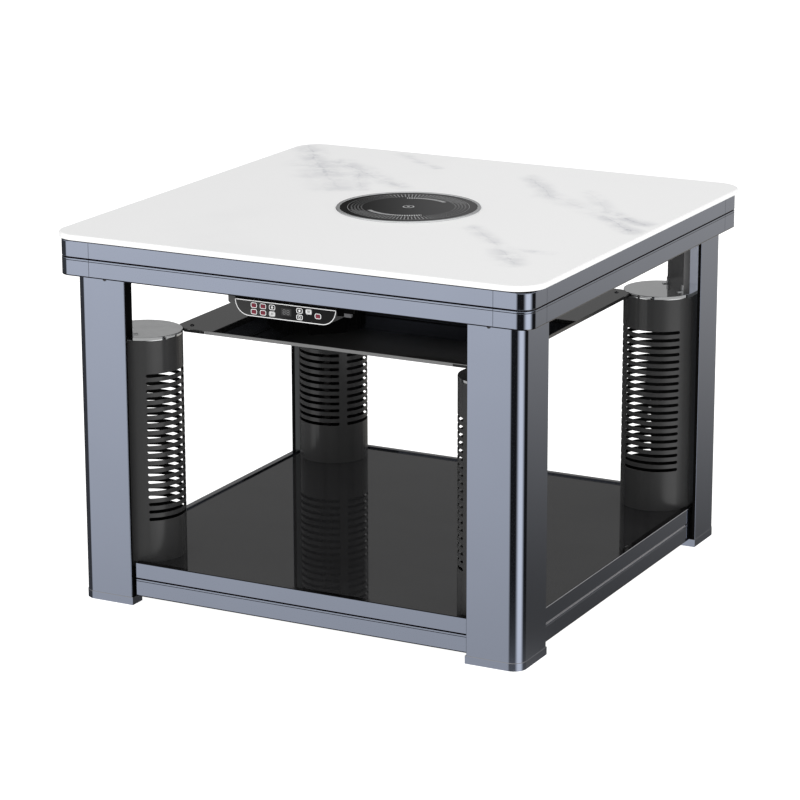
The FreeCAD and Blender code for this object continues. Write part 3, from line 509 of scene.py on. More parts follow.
def join(meshes):
    """Puts several meshes into the first."""
    whole = meshes[0]
    for other in meshes[1:]:
        scrap = bpy.data.meshes.new("scrap")
        other.to_mesh(scrap)
        whole.from_mesh(scrap)
        bpy.data.meshes.remove(scrap)
        other.free()
    return whole


def shade(mesh):
    """Smooth rounds that end sharply at the level and upright flats, so the flats stay even."""
    mesh.normal_update()
    flat = {}
    for face in mesh.faces:
        face.smooth = True
        flat[face] = max(map(abs, face.normal)) > LEVEL
    for edge in mesh.edges:
        same = len({flat[face] for face in edge.link_faces}) == 1
        edge.smooth = same and edge.calc_face_angle(math.pi) < SHARP


def make_object(name, mesh, *materials):
    shade(mesh)
    data = bpy.data.meshes.new(name)
    mesh.to_mesh(data)
    mesh.free()
    for material in materials:
        data.materials.append(material)
    piece = bpy.data.objects.new(name, data)
    bpy.context.scene.collection.objects.link(piece)
    return piece


def settle(piece, body, slot, *nodes):
    """Rides a finished piece on its body, and lets it stand for CAD nodes."""
    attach(piece, body)
    if nodes:
        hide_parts(*nodes)
    return piece


def paint_node(name, material):
    """Gives a CAD node its finish."""
    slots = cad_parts[name].data.materials
    slots.clear()
    slots.append(material)


# Geometry trees

def tree_input(tree, name, kind, default=None):
    socket = tree.interface.new_socket(name, in_out="INPUT", socket_type=f"NodeSocket{kind}")
    if default is not None:
        socket.default_value = default


def add_geometry_node(tree, kind, sockets=None, settings=None):
    node = tree.nodes.new(kind)
    for name, value in (settings or {}).items():
        setattr(node, name, value)
    for name, value in (sockets or {}).items():
        if isinstance(value, bpy.types.NodeSocket):
            tree.links.new(value, node.inputs[name])
        else:
            node.inputs[name].default_value = value
    return node


def copies_tree():
    """Repeats the mesh: each copy is a step further on and a turn further round."""
    tree = bpy.data.node_groups.new("Copies", "GeometryNodeTree")
    tree.interface.new_socket("Geometry", in_out="INPUT", socket_type="NodeSocketGeometry")
    tree_input(tree, "Count", "Int", 4)
    tree_input(tree, "Step", "Float", 0.0)
    tree_input(tree, "Turn", "Float", 0.0)
    tree_input(tree, "Weld", "Float", 0.0)
    tree_input(tree, "Finish", "Material")
    tree_input(tree, "Lining", "Material")
    tree.interface.new_socket("Geometry", in_out="OUTPUT", socket_type="NodeSocketGeometry")
    given = tree.nodes.new("NodeGroupInput").outputs
    index = add_geometry_node(tree, "GeometryNodeInputIndex").outputs[0]
    rise = add_geometry_node(tree, "ShaderNodeMath", {0: index, 1: given["Step"]}, {"operation": "MULTIPLY"})
    turn = add_geometry_node(tree, "ShaderNodeMath", {0: index, 1: given["Turn"]}, {"operation": "MULTIPLY"})
    place = add_geometry_node(tree, "ShaderNodeCombineXYZ", {"Z": rise.outputs[0]})
    round_z = add_geometry_node(tree, "ShaderNodeCombineXYZ", {"Z": turn.outputs[0]})
    points = add_geometry_node(tree, "GeometryNodePoints",
                               {"Count": given["Count"], "Position": place.outputs[0]})
    put = add_geometry_node(tree, "GeometryNodeInstanceOnPoints",
                            {"Points": points.outputs[0], "Instance": given["Geometry"],
                             "Rotation": round_z.outputs[0]})
    real = add_geometry_node(tree, "GeometryNodeRealizeInstances", {0: put.outputs[0]})
    weld = add_geometry_node(tree, "GeometryNodeMergeByDistance",
                             {"Geometry": real.outputs[0], "Distance": given["Weld"]})
    marked = add_geometry_node(tree, "GeometryNodeInputNamedAttribute", {"Name": "lined"},
                               {"data_type": "BOOLEAN"})
    dressed = add_geometry_node(tree, "GeometryNodeSetMaterial",
                                {"Geometry": weld.outputs[0], "Material": given["Finish"]})
    lined = add_geometry_node(tree, "GeometryNodeSetMaterial",
                              {"Geometry": dressed.outputs[0], "Selection": marked.outputs[0],
                               "Material": given["Lining"]})
    tree.links.new(lined.outputs[0], tree.nodes.new("NodeGroupOutput").inputs[0])
    return tree


def helix_tree():
    """Winds a round wire into a helix that stands on its place."""
    tree = bpy.data.node_groups.new("Helix", "GeometryNodeTree")
    tree.interface.new_socket("Geometry", in_out="INPUT", socket_type="NodeSocketGeometry")
    for name, kind in (("Radius", "Float"), ("Height", "Float"), ("Wire", "Float"), ("Turns", "Float"),
                       ("Place", "Vector"), ("Finish", "Material")):
        tree_input(tree, name, kind)
    tree.interface.new_socket("Geometry", in_out="OUTPUT", socket_type="NodeSocketGeometry")
    given = tree.nodes.new("NodeGroupInput").outputs
    spiral = add_geometry_node(tree, "GeometryNodeCurveSpiral",
                               {"Resolution": 14, "Rotations": given["Turns"],
                                "Start Radius": given["Radius"], "End Radius": given["Radius"],
                                "Height": given["Height"]})
    section = add_geometry_node(tree, "GeometryNodeCurvePrimitiveCircle",
                                {"Resolution": 6, "Radius": given["Wire"]})
    wire = add_geometry_node(tree, "GeometryNodeCurveToMesh",
                             {"Curve": spiral.outputs[0], "Profile Curve": section.outputs[0],
                              "Fill Caps": True})
    moved = add_geometry_node(tree, "GeometryNodeTransform",
                              {"Geometry": wire.outputs[0], "Translation": given["Place"]})
    real = add_geometry_node(tree, "GeometryNodeRealizeInstances", {0: moved.outputs[0]})
    dressed = add_geometry_node(tree, "GeometryNodeSetMaterial",
                                {"Geometry": real.outputs[0], "Material": given["Finish"]})
    tree.links.new(dressed.outputs[0], tree.nodes.new("NodeGroupOutput").inputs[0])
    return tree


def keep_modified(piece):
    """Keeps the outcome of a piece's modifiers as its plain mesh."""
    graph = bpy.context.evaluated_depsgraph_get()
    outcome = bpy.data.meshes.new_from_object(piece.evaluated_get(graph))
    piece.modifiers.clear()
    piece.data = outcome
    return piece


def grow(piece, make_tree, **values):
    """Runs a geometry tree on a piece. The values are named as the tree's inputs."""
    modifier = piece.modifiers.new("grown", "NODES")
    modifier.node_group = make_tree()
    for item in modifier.node_group.interface.items_tree:
        if item.in_out == "INPUT" and item.name in values:
            modifier[item.identifier] = values[item.name]
    return keep_modified(piece)


def mark_lining(piece, chosen):
    """Marks the faces that take a geometry tree's second finish."""
    marks = piece.data.attributes.new("lined", "BOOLEAN", "FACE")
    marks.data.foreach_set("value", [bool(chosen(face)) for face in piece.data.polygons])


def four_fold(piece, finish, lining=None):
    """Repeats a corner's piece at the table's other three corners."""
    return grow(piece, copies_tree, Count=len(QUARTERS), Turn=math.tau / len(QUARTERS), Weld=0.0,
                Finish=finish, Lining=lining or finish)


def of_quarters(stem):
    return [f"{stem}_{quarter}" for quarter in QUARTERS]


# The table's pieces

class TABLE_OT_top(bpy.types.Operator):
    """Makes the stone slab with its rounded edge and the hob's cut-out"""
    bl_idname = "heating_table.top"
    bl_label = "Stone top"

    def execute(self, context):
        look = context.scene.table_top
        low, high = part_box("stone_top")
        half, bottom, top = high.x, low.z, high.z

        def square(inset):
            return rounded_box(half - inset, half - inset, look.corner - inset, steps=24)

        rings = [at_height(square(look.undercut), bottom),
                 at_height(square(0.0), bottom + look.undercut_height)]
        edge_steps = 10
        for step in range(edge_steps + 1):
            turn = math.pi / 2 * step / edge_steps
            inset = look.edge * (1 - math.cos(turn))
            rings.append(at_height(square(inset), top - look.edge * (1 - math.sin(turn))))
        hole = [look.hole * point.normalized() for point in square(0.0)]
        rings += [at_height(hole, top), at_height(hole, bottom)]
        mesh = loft(rings, closed=True)
        facing_down = -0.85
        for face in mesh.faces:
            face.material_index = int(face.normal.z < facing_down)
        # Faces that look down, the sloped undercut among them, get a near-black backing: painted shade under
        # the slab.
        painted_shade_backing = coated_finish("slab_backing", (0.02, 0.02, 0.021), 0.6, 200.0)
        piece = make_object("stone_slab", mesh, stone_finish(look), painted_shade_backing)
        settle(piece, TABLE, "stone", "stone_top")
        return {"FINISHED"}


class TABLE_OT_hob(bpy.types.Operator):
    """Makes the hob's trim ring and glass, and finishes its housing, coil and fan"""
    bl_idname = "heating_table.hob"
    bl_label = "Hob"

    def execute(self, context):
        look = context.scene.table_hob
        low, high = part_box("hob_trim_ring")
        glass_low, glass_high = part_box("hob_glass")
        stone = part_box("stone_top")[1].z
        gap, slope, seat, flange = 0.3 * MM, 1.2 * MM, 7.7 * MM, 5 * MM
        outer, rim = high.x, high.z
        inner = glass_high.x + gap
        profile = rounded([
            (outer, stone), (outer, rim - slope), (outer - slope, rim), (inner + slope / 2, rim),
            (inner, rim - slope / 2), (inner, glass_low.z), (inner - seat, glass_low.z),
            (inner - seat, low.z), (outer - flange, low.z), (outer - flange, stone),
        ], [0.0, 0.5 * MM, 0.5 * MM, 0.2 * MM, 0, 0, 0, 0, 0, 0])
        rim_metal = polished_finish("brushed_rim", look.rim, 0.22, (300.0,) * 3)
        settle(make_object("hob_rim", revolve(profile), rim_metal), TABLE, "trim", "hob_trim_ring")
        reach, edge = glass_high.x, 0.6 * MM
        outline = rounded([(0.0, glass_low.z), (reach, glass_low.z), (reach, glass_high.z),
                           (0.0, glass_high.z)], [0, 0, edge, 0])
        plate = make_object("hob_plate", revolve(outline), hob_finish(look, reach))
        settle(plate, TABLE, "hob_glass", "hob_glass")
        paint_node("hob_housing", coated_finish("hob_case", (0.02, 0.02, 0.02), 0.45, 700.0))
        paint_node("hob_coil", polished_finish("coil_lacquer", (0.42, 0.16, 0.06), 0.3, (0.0, 0.0, 900.0)))
        paint_node("hob_fan", coated_finish("fan_plastic", (0.015, 0.015, 0.015), 0.4, 900.0))
        return {"FINISHED"}


class TABLE_OT_frame(bpy.types.Operator):
    """Makes legs, feet and apron corners, and finishes aprons, rails and corner blocks"""
    bl_idname = "heating_table.frame"
    bl_label = "Aluminium frame"

    def leg_finish(self, look):
        """Anodised outside; inside the corner a matt painted tone stands in for the faces' reflections.

        The inner faces carry a painted glow, with a pale painted reflection and more glow where they look to
        the front or back on the right legs. On the left legs they carry painted shade from the heat shield's
        underside up.
        """
        material, nodes, place = new_finish("anodised_leg")
        x, y, height = nodes.split(place)
        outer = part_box("leg_back_right")[1].x
        inner = outer - look.leg_wall / 2
        across, along = abs(x), abs(y)
        flat = nodes.math("MINIMUM", across, along) < outer - look.leg_corner
        inside = (across < inner) * (along < inner) * flat
        # Masks for a pale painted reflection on the right legs' front and back faces, and for painted shade
        # on the left legs.
        facing = inside * (along > inner - look.leg_wall) * (x > 0.0)
        shade_painted = inside * (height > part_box("heat_shield")[0].z) * (x < 0.0)
        base, rough = anodised(nodes, place, look)
        # A matt painted tone inside stands in for the faces' reflections.
        base = nodes.mix(inside, base, (0.19, 0.20, 0.20))
        base = nodes.mix(facing, base, (0.62, 0.65, 0.72))
        base = nodes.mix(shade_painted, base, (0.02, 0.02, 0.02))
        # The emission is a painted glow that stands in for light bounced in the corner.
        painted_bounce_glow = nodes.mix(inside - shade_painted, (0.0, 0.0, 0.0), (0.042, 0.044, 0.045))
        painted_bounce_glow = nodes.mix(facing, painted_bounce_glow, (0.17, 0.18, 0.21))
        close_finish(nodes, base, rough + inside * 0.4, 1.0 - inside, emission_color=painted_bounce_glow,
                     emission_strength=1.0)
        return material

    def legs(self, look, metal, lining):
        low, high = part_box("leg_back_right")
        out, edge, wall, lip = high.x, low.x, look.leg_wall, look.leg_lip
        soft = look.softness
        points = [
            (out, out), (edge, out), (edge, out - lip), (edge + wall, out - lip), (edge + wall, out - wall),
            (out - wall, out - wall), (out - wall, edge + wall), (out - lip, edge + wall), (out - lip, edge),
            (out, edge),
        ]
        radii = [look.leg_corner, soft * 2, soft, soft, soft, look.leg_corner - wall, soft, soft, soft,
                 soft * 2]
        outline = rounded(points, radii)
        mesh = loft([at_height(outline, low.z), at_height(outline, high.z)])
        leg = make_object("legs", mesh, metal)
        mark_lining(leg, lambda face: max(face.normal.x, face.normal.y) < 0.1
                    and min(face.center.x, face.center.y) < edge + wall)
        legs = four_fold(leg, metal, lining)
        settle(legs, TABLE, "aluminium", *of_quarters("leg"))

    def feet(self, look, metal):
        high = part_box("foot_caps")[1]
        out = high.x
        leg_low, leg_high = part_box("leg_back_right")
        end, inner = leg_low.x - look.foot_end, out - look.foot_arm
        radius = look.leg_corner + out - leg_high.x

        def outline(inset):
            reach = out - inset
            return rounded([(reach, reach), (end, reach), (end, inner), (inner, inner), (inner, end),
                            (reach, end)], [radius - inset, 0, 0, 0, 0, 0])

        sole = 0.4 * MM
        rings = [at_height(outline(inset), z) for inset, z in (
            (sole, 0.0), (0.0, sole), (0.0, high.z - look.foot_arris), (look.foot_arris, high.z))]
        feet = make_object("feet", loft(rings), metal)
        settle(four_fold(feet, metal), TABLE, "aluminium", "foot_caps")

    def section(self, look, depth, bottom, top, ledge=()):
        """The grooved section that aprons, corners and rails share, as distances inwards and heights."""
        groove = top - look.groove
        line = groove - LINE_DROP
        sunk, floor_half = 2.2 * MM, 0.5 * MM
        shape = [
            (depth, bottom, 0), (0.0, bottom, 0.9), (0.0, bottom + 2 * MM, 0), (0.0, line - 1.5 * MM, 0),
            (0.0, line - LINE_HALF, 0.15), (0.7 * MM, line, 0.1), (0.0, line + LINE_HALF, 0.15),
            (0.0, groove - GROOVE_MOUTH, 0.45), (sunk, groove - floor_half, 0.2),
            (sunk, groove + floor_half, 0.2), (0.0, groove + GROOVE_MOUTH, 0.45),
            (0.0, groove + 3 * MM, 0), (0.0, top - 2 * MM, 0), (0.0, top, 0.9), (depth, top, 0), *ledge,
        ]
        return rounded([(inset, z) for inset, z, _ in shape], [radius * MM for *_, radius in shape])

    def apron_corners(self, look, metal):
        low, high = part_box("apron_corner_back_right")
        out, radius = high.x, look.apron_corner
        section = self.section(look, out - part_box("apron_right")[0].x, low.z, high.z)
        start, centre = low.x + look.seam / 2, out - radius
        rings = [[Vector((out - inset, start, z)) for inset, z in section]]
        for step in range(ARC_STEPS + 1):
            ray = circle_point(math.pi / 2 * step / ARC_STEPS)
            rings.append([Vector((centre + (radius - inset) * ray.x, centre + (radius - inset) * ray.y, z))
                          for inset, z in section])
        rings.append([Vector((start, out - inset, z)) for inset, z in section])
        piece = make_object("apron_corners", loft(rings), metal)
        settle(four_fold(piece, metal), TABLE, "aluminium", *of_quarters("apron_corner"))

    def straights(self, name, look, metal, depth, end, ledge=()):
        """The four straight sections of aprons or rails, from the one on the right."""
        low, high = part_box(f"{name}_right")
        section = self.section(look, depth, low.z, high.z, ledge)
        rings = [[Vector((high.x - inset, y, z)) for inset, z in section] for y in (-end, end)]
        piece = make_object(f"{name}s", loft(rings), metal)
        settle(four_fold(piece, metal), TABLE, "aluminium", *(f"{name}_{side}" for side in SIDES))

    def painted_section_lines(self, look):
        """Painted shade and painted highlight lines along lips, grooves and the rails' upper edges, as
        anodised_finish takes them.
        """
        # dark is a painted shade tone and bright a painted highlight tone; the middling tones by side are
        # painted too.
        dark, bright = 0.012, 0.95
        lines = []
        for name, groove_side, lip_side in (("apron_right", 0.10, 0.25), ("rail_right", bright, 0.2)):
            low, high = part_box(name)
            groove = high.z - look.groove
            line = groove - LINE_DROP
            lines += [(low.z - MM, low.z + 2 * MM, dark, lip_side, dark),
                      (groove - GROOVE_MOUTH, groove + GROOVE_MOUTH, dark, groove_side, dark),
                      (line - LINE_HALF, line + LINE_HALF, dark, 0.2, dark)]
        rail_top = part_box("rail_right")[1].z
        lines += [(rail_top - 0.5 * MM, rail_top + 3 * MM, dark, dark, 0.2),
                  (rail_top - 1.2 * MM, rail_top - 0.2 * MM, dark, bright, 0.2)]
        return lines

    def execute(self, context):
        look = context.scene.table_metal
        nylon = coated_finish("black_nylon", (0.005, 0.005, 0.005), 0.5, 600.0, ior=1.1)
        self.legs(look, self.leg_finish(look), nylon)
        foot_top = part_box("foot_caps")[1].z
        # A darker tone on the foot's arris is painted shade, which dims its highlight.
        painted_arris_shade = (foot_top - 0.65 * MM, foot_top + MM, 0.3, 0.3, 0.3)
        self.feet(look, anodised_finish("anodised_cast", look, [painted_arris_shade]))
        metal = anodised_finish("anodised_section", look, self.painted_section_lines(look))
        self.apron_corners(look, metal)
        low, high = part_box("apron_right")
        self.straights("apron", look, metal, high.x - low.x, high.y - look.seam / 2)
        low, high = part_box("rail_right")
        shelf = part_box("lower_shelf")[0].z
        inner, ledge, under = 11 * MM, high.x - low.x, shelf - 3 * MM
        self.straights("rail", look, metal, inner, high.y, (
            (inner, shelf, 0), (ledge, shelf, 0), (ledge, under, 0), (inner, under, 0)))
        paint_node("corner_blocks", nylon)
        return {"FINISHED"}


def slot_columns(look, radius):
    """Angles round a shell, with half a slot's height at each, for the two banks and what is between.

    Angles are counted from the column's inner diagonal. A slot's ends are round.
    """
    end_steps, straight_steps = 6, 14
    nose = look.slot / 2
    turn = nose / radius
    leans = [math.pi / 2 * step / end_steps for step in range(end_steps + 1)]
    ends = [(turn * (1 - math.cos(lean)), nose * math.sin(lean)) for lean in leans]
    columns = []
    for start, stop in ((-look.first - look.span, -look.first), (look.first, look.first + look.span)):
        run = stop - start - 2 * turn
        columns += [(start + away, half) for away, half in ends]
        columns += [(start + turn + run * step / straight_steps, nose) for step in range(1, straight_steps)]
        columns += [(stop - away, half) for away, half in reversed(ends)]
    return columns


def column(name):
    """Radius and axis of a heater's round part, and its lower and upper end."""
    low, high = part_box(name)
    radius = (high.x - low.x) / 2
    return radius, Vector((high.x - radius, high.y - radius)), low.z, high.z


class TABLE_OT_heaters(bpy.types.Operator):
    """Makes the slotted shells, the polished caps and the wire wound on the rods, and finishes the rods,
    struts and clips
    """
    bl_idname = "heating_table.heaters"
    bl_label = "Corner heaters"

    def shells(self, look, paint, lining):
        radius, axis, low, high = column("heater_shell_back_right")
        columns = slot_columns(look, radius)
        edge = columns[-1][0]
        gap = [(edge + (ROUND_HALF - edge) * step / FINE_STEPS, 0.0) for step in range(1, FINE_STEPS + 1)]
        columns = [(-angle, half) for angle, half in reversed(gap)] + columns + gap
        corner = rounded([(0.0, radius), (radius, radius), (radius, 0.0)], [0, FOLD, 0], 6)
        ring = [(axis + circle_point(INWARDS + angle, radius), half) for angle, half in columns]
        ring += [(axis + point, 0.0) for point in reversed(corner[1:-1])]

        def band(bottom, top, opened=False):
            """A stretch of the wall, with a row of slots at half its height where it is opened."""
            mesh = bmesh.new()
            middle = (bottom + top) / 2
            rows = []
            for point, half in ring:
                heights = (bottom, middle - half, middle + half, top) if opened else (bottom, top)
                rows.append([mesh.verts.new((point.x, point.y, z)) for z in heights])
            for i, row in enumerate(rows):
                after = rows[(i + 1) % len(rows)]
                for level in range(0, len(row), 2):
                    mesh.faces.new((row[level], after[level], after[level + 1], row[level + 1]))
            bmesh.ops.remove_doubles(mesh, verts=mesh.verts, dist=MM / 500)
            return mesh

        first = low + look.lowest - look.pitch / 2
        last = first + look.pitch * look.slots
        row = make_object("slot_rows", band(first, first + look.pitch, opened=True), paint)
        grow(row, copies_tree, Count=look.slots, Step=look.pitch, Weld=MM / 50, Finish=paint)
        whole = bmesh.new()
        whole.from_mesh(row.data)
        whole = join([whole, band(low, first), band(last, high)])
        bmesh.ops.remove_doubles(whole, verts=whole.verts, dist=MM / 50)
        bmesh.ops.recalc_face_normals(whole, faces=whole.faces)
        bpy.data.objects.remove(row)
        piece = make_object("heater_shells", whole, paint)
        wall = piece.modifiers.new("sheet", "SOLIDIFY")
        wall.thickness = look.wall
        wall.offset = -1.0
        wall.use_even_offset = True
        keep_modified(piece)
        mark_lining(piece, lambda face: (face.center.xy - axis).dot(face.normal.xy) < 0)
        settle(four_fold(piece, paint, lining), TABLE, "heater_paint", *of_quarters("heater_shell"))

    def caps(self, metal):
        radius, axis, low, high = column("heater_cap_back_right")
        soft, bow_steps = 0.7 * MM, 60

        def outline(inset):
            reach = radius - inset
            bow = [axis + circle_point(INWARDS + ROUND_HALF * (2 * step / bow_steps - 1), reach)
                   for step in range(bow_steps + 1)]
            corner = rounded([(reach, 0.0), (reach, reach), (0.0, reach)], [0, FOLD - inset, 0], 8)
            return bow + [axis + point for point in corner[1:-1]]

        rings = [at_height(outline(inset), z) for inset, z in (
            (0.0, low), (0.0, high - soft), (soft * 0.3, high - soft * 0.3), (soft, high))]
        piece = make_object("heater_lids", loft(rings), metal)
        settle(four_fold(piece, metal), TABLE, "polished_steel", *of_quarters("heater_cap"))

    def windings(self, look, metal):
        low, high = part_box("heater_element_back_right")
        middle = (low + high) / 2
        margin = 36 * MM
        holder = make_object("heating_wires", bmesh.new(), metal)
        grow(holder, helix_tree, Radius=ROD_RADIUS + look.wire, Height=high.z - low.z - 2 * margin,
             Wire=look.wire, Turns=float(look.turns), Finish=metal,
             Place=Vector((middle.x, middle.y, low.z + margin)))
        settle(four_fold(holder, metal), TABLE, "ceramic")

    def execute(self, context):
        look = context.scene.table_heater
        paint = coated_finish("heater_coating", look.paint, 0.22, 900.0, 0.05)
        # The shells' inner faces get near black: painted shade inside the heater.
        self.shells(look, paint, coated_finish("heater_inside_painted_shade", PAINTED_SHADE_BLACK, 0.6, 300.0))
        self.caps(polished_finish("mirror_cap", look.cap, 0.035))
        self.windings(look, polished_finish("heating_wire", (0.10, 0.09, 0.085), 0.4))
        ceramic = coated_finish("ceramic_rod", (0.05, 0.05, 0.05), 0.6, 400.0)
        strut = coated_finish("strut_lacquer", (0.13, 0.13, 0.132), 0.25, 900.0, 0.03)
        # The three struts other than the back right one get a near-black copy of the lacquer: painted shade.
        shade_painted = coated_finish("strut_painted_shade", PAINTED_SHADE_BLACK, 0.5, 900.0, 0.03, ior=1.1)
        for quarter in QUARTERS:
            paint_node(f"heater_element_{quarter}", ceramic)
            paint_node(f"corner_strut_{quarter}", strut if quarter == "back_right" else shade_painted)
        paint_node("strut_clips", polished_finish("zinc_plate", (0.66, 0.67, 0.68), 0.3, (200.0,) * 3))
        return {"FINISHED"}


class TABLE_OT_plates(bpy.types.Operator):
    """Finishes the lower shelf, the heat shield and its brackets"""
    bl_idname = "heating_table.plates"
    bl_label = "Shelf and shield"

    def shield_finish(self, top):
        """Black enamel on top, bare bright steel on the turned-down edges and below."""
        material, nodes, place = new_finish("shield_enamel")
        bare = nodes.split(place)[2] < top - 0.4 * MM
        black = nodes.mix(nodes.mottle(place, 8.0, 3.0), (0.020, 0.020, 0.020), (0.016, 0.016, 0.016))
        base = nodes.mix(bare, black, (0.36, 0.36, 0.36))
        close_finish(nodes, base, bare * 0.22 + 0.02, bare * 1.0)
        return material

    def execute(self, context):
        paint_node("lower_shelf", glass_finish("black_glass", (0.025, 0.025, 0.026), 0.02, 1.26))
        paint_node("heat_shield", self.shield_finish(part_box("heat_shield")[1].z))
        paint_node("shield_brackets", coated_finish("bracket_paint", (0.012, 0.012, 0.012), 0.4, 600.0))
        return {"FINISHED"}


def socket_screw(radius, height, depth):
    """A pan-headed screw with a hexagon socket, head up and seat at zero."""
    steps, side, socket = 24, math.pi / 3, radius / 2

    def ring(reach, z, six=False):
        outline = []
        for angle in (math.tau * step / steps for step in range(steps)):
            flat = math.cos(side / 2) / math.cos(angle % side - side / 2) if six else 1.0
            outline.append(circle_point(angle, reach * flat))
        return at_height(outline, z)

    rings = [ring(socket, -depth), ring(socket, 0.0), ring(radius, 0.0), ring(radius, height * 0.55),
             ring(radius * 0.93, height * 0.85), ring(radius * 0.78, height), ring(socket * 1.12, height),
             ring(socket, height - MM / 10, True), ring(socket, height * 0.35, True)]
    return loft(rings)


class TABLE_OT_screws(bpy.types.Operator):
    """Makes the screws in the legs and in the shield's corners"""
    bl_idname = "heating_table.screws"
    bl_label = "Screws"

    def execute(self, context):
        zinc = polished_finish("black_zinc", (0.16, 0.16, 0.17), 0.25, (200.0,) * 3)
        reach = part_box("screws")[1]
        leg_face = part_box("leg_front_right")[1].x
        radius = 3.4 * MM
        meshes = []
        for side in (1, -1):
            mesh = socket_screw(radius, reach.y - leg_face, 6 * MM)
            seat = Matrix.Translation(((reach.x - radius) * side, -leg_face, reach.z - radius))
            turn = Matrix.Rotation(math.pi / 2, 4, "X")
            bmesh.ops.transform(mesh, matrix=seat @ turn, verts=mesh.verts)
            meshes.append(mesh)
        legs = make_object("leg_screws", join(meshes), zinc)
        grow(legs, copies_tree, Count=2, Turn=math.pi, Finish=zinc)
        settle(legs, TABLE, "zinc", "screws")
        plate_top, from_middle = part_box("heat_shield")[1].z, 275.6 * MM
        mesh = socket_screw(3.6 * MM, 1.6 * MM, 5 * MM)
        bmesh.ops.translate(mesh, vec=(from_middle, from_middle, plate_top), verts=mesh.verts)
        settle(four_fold(make_object("shield_screws", mesh, zinc), zinc), TABLE, "zinc")
        return {"FINISHED"}


# The key panel

def strip(outline, width, y, ink):
    """A flat printed line of even width along a closed outline, inside it."""
    inner = []
    count = len(outline)
    for i, point in enumerate(outline):
        before = (point - outline[i - 1]).normalized()
        after = (outline[(i + 1) % count] - point).normalized()
        tangent = (before + after).normalized()
        normal = Vector((-tangent.y, tangent.x))
        stretch = max(tangent.dot(after), 0.5)
        inner.append(point + normal * (width / stretch))
    rings = [on_front(outline, y), on_front(outline, y - ink), on_front(inner, y - ink), on_front(inner, y)]
    return loft(rings, closed=True)


def bar(start, end, width, y, ink):
    """A flat printed stroke."""
    start, end = Vector(start), Vector(end)
    along = (end - start).normalized() * (width / 2)
    side = Vector((-along.y, along.x))
    points = [start - along - side, end + along - side, end + along + side, start - along + side]
    outline = rounded(points, [width * 0.45] * 4, 4)
    return loft([on_front(outline, y), on_front(outline, y - ink)])


def hoop(centre, radius, width, y, ink, start=0.0, stop=math.tau):
    """A flat printed arc."""
    steps = 20
    whole = stop - start >= math.tau - 0.01
    inner, outer = [], []
    for step in range(steps + (not whole)):
        ray = circle_point(start + (stop - start) * step / steps)
        inner.append(Vector(centre) + ray * (radius - width / 2))
        outer.append(Vector(centre) + ray * (radius + width / 2))
    if whole:
        return loft([on_front(inner, y), on_front(outer, y), on_front(outer, y - ink),
                     on_front(inner, y - ink)], closed=True)
    outline = outer + inner[::-1]
    return loft([on_front(outline, y), on_front(outline, y - ink)])


def symbol(kind, centre, y, ink):
    """The plain symbol on a key: ring, power, heat or rows."""
    x, z = centre
    thin, thick = 0.75 * MM, 1.3 * MM
    if kind == "ring":
        return hoop(centre, 1.2 * MM, 1.6 * MM, y, ink)
    if kind == "power":
        arc = hoop(centre, 2.3 * MM, thin, y, ink, math.radians(120), math.radians(420))
        return join([arc, bar((x, z + 0.6 * MM), (x, z + 2.9 * MM), thin, y, ink)])
    if kind == "heat":
        shifts = (-2.3 * MM, 0.0, 2.3 * MM)
        strokes = [((x + shift, z - 1.6 * MM), (x + shift, z + 2.6 * MM)) for shift in shifts]
        strokes.append(((x - 3 * MM, z - 2.8 * MM), (x + 3 * MM, z - 2.8 * MM)))
    else:
        rises = (-1.5 * MM, 0.0, 1.5 * MM)
        strokes = [((x - 2.6 * MM, z + rise), (x + 2.6 * MM, z + rise)) for rise in rises]
    width = thick if kind == "heat" else thin
    return join([bar(start, end, width, y, ink) for start, end in strokes])


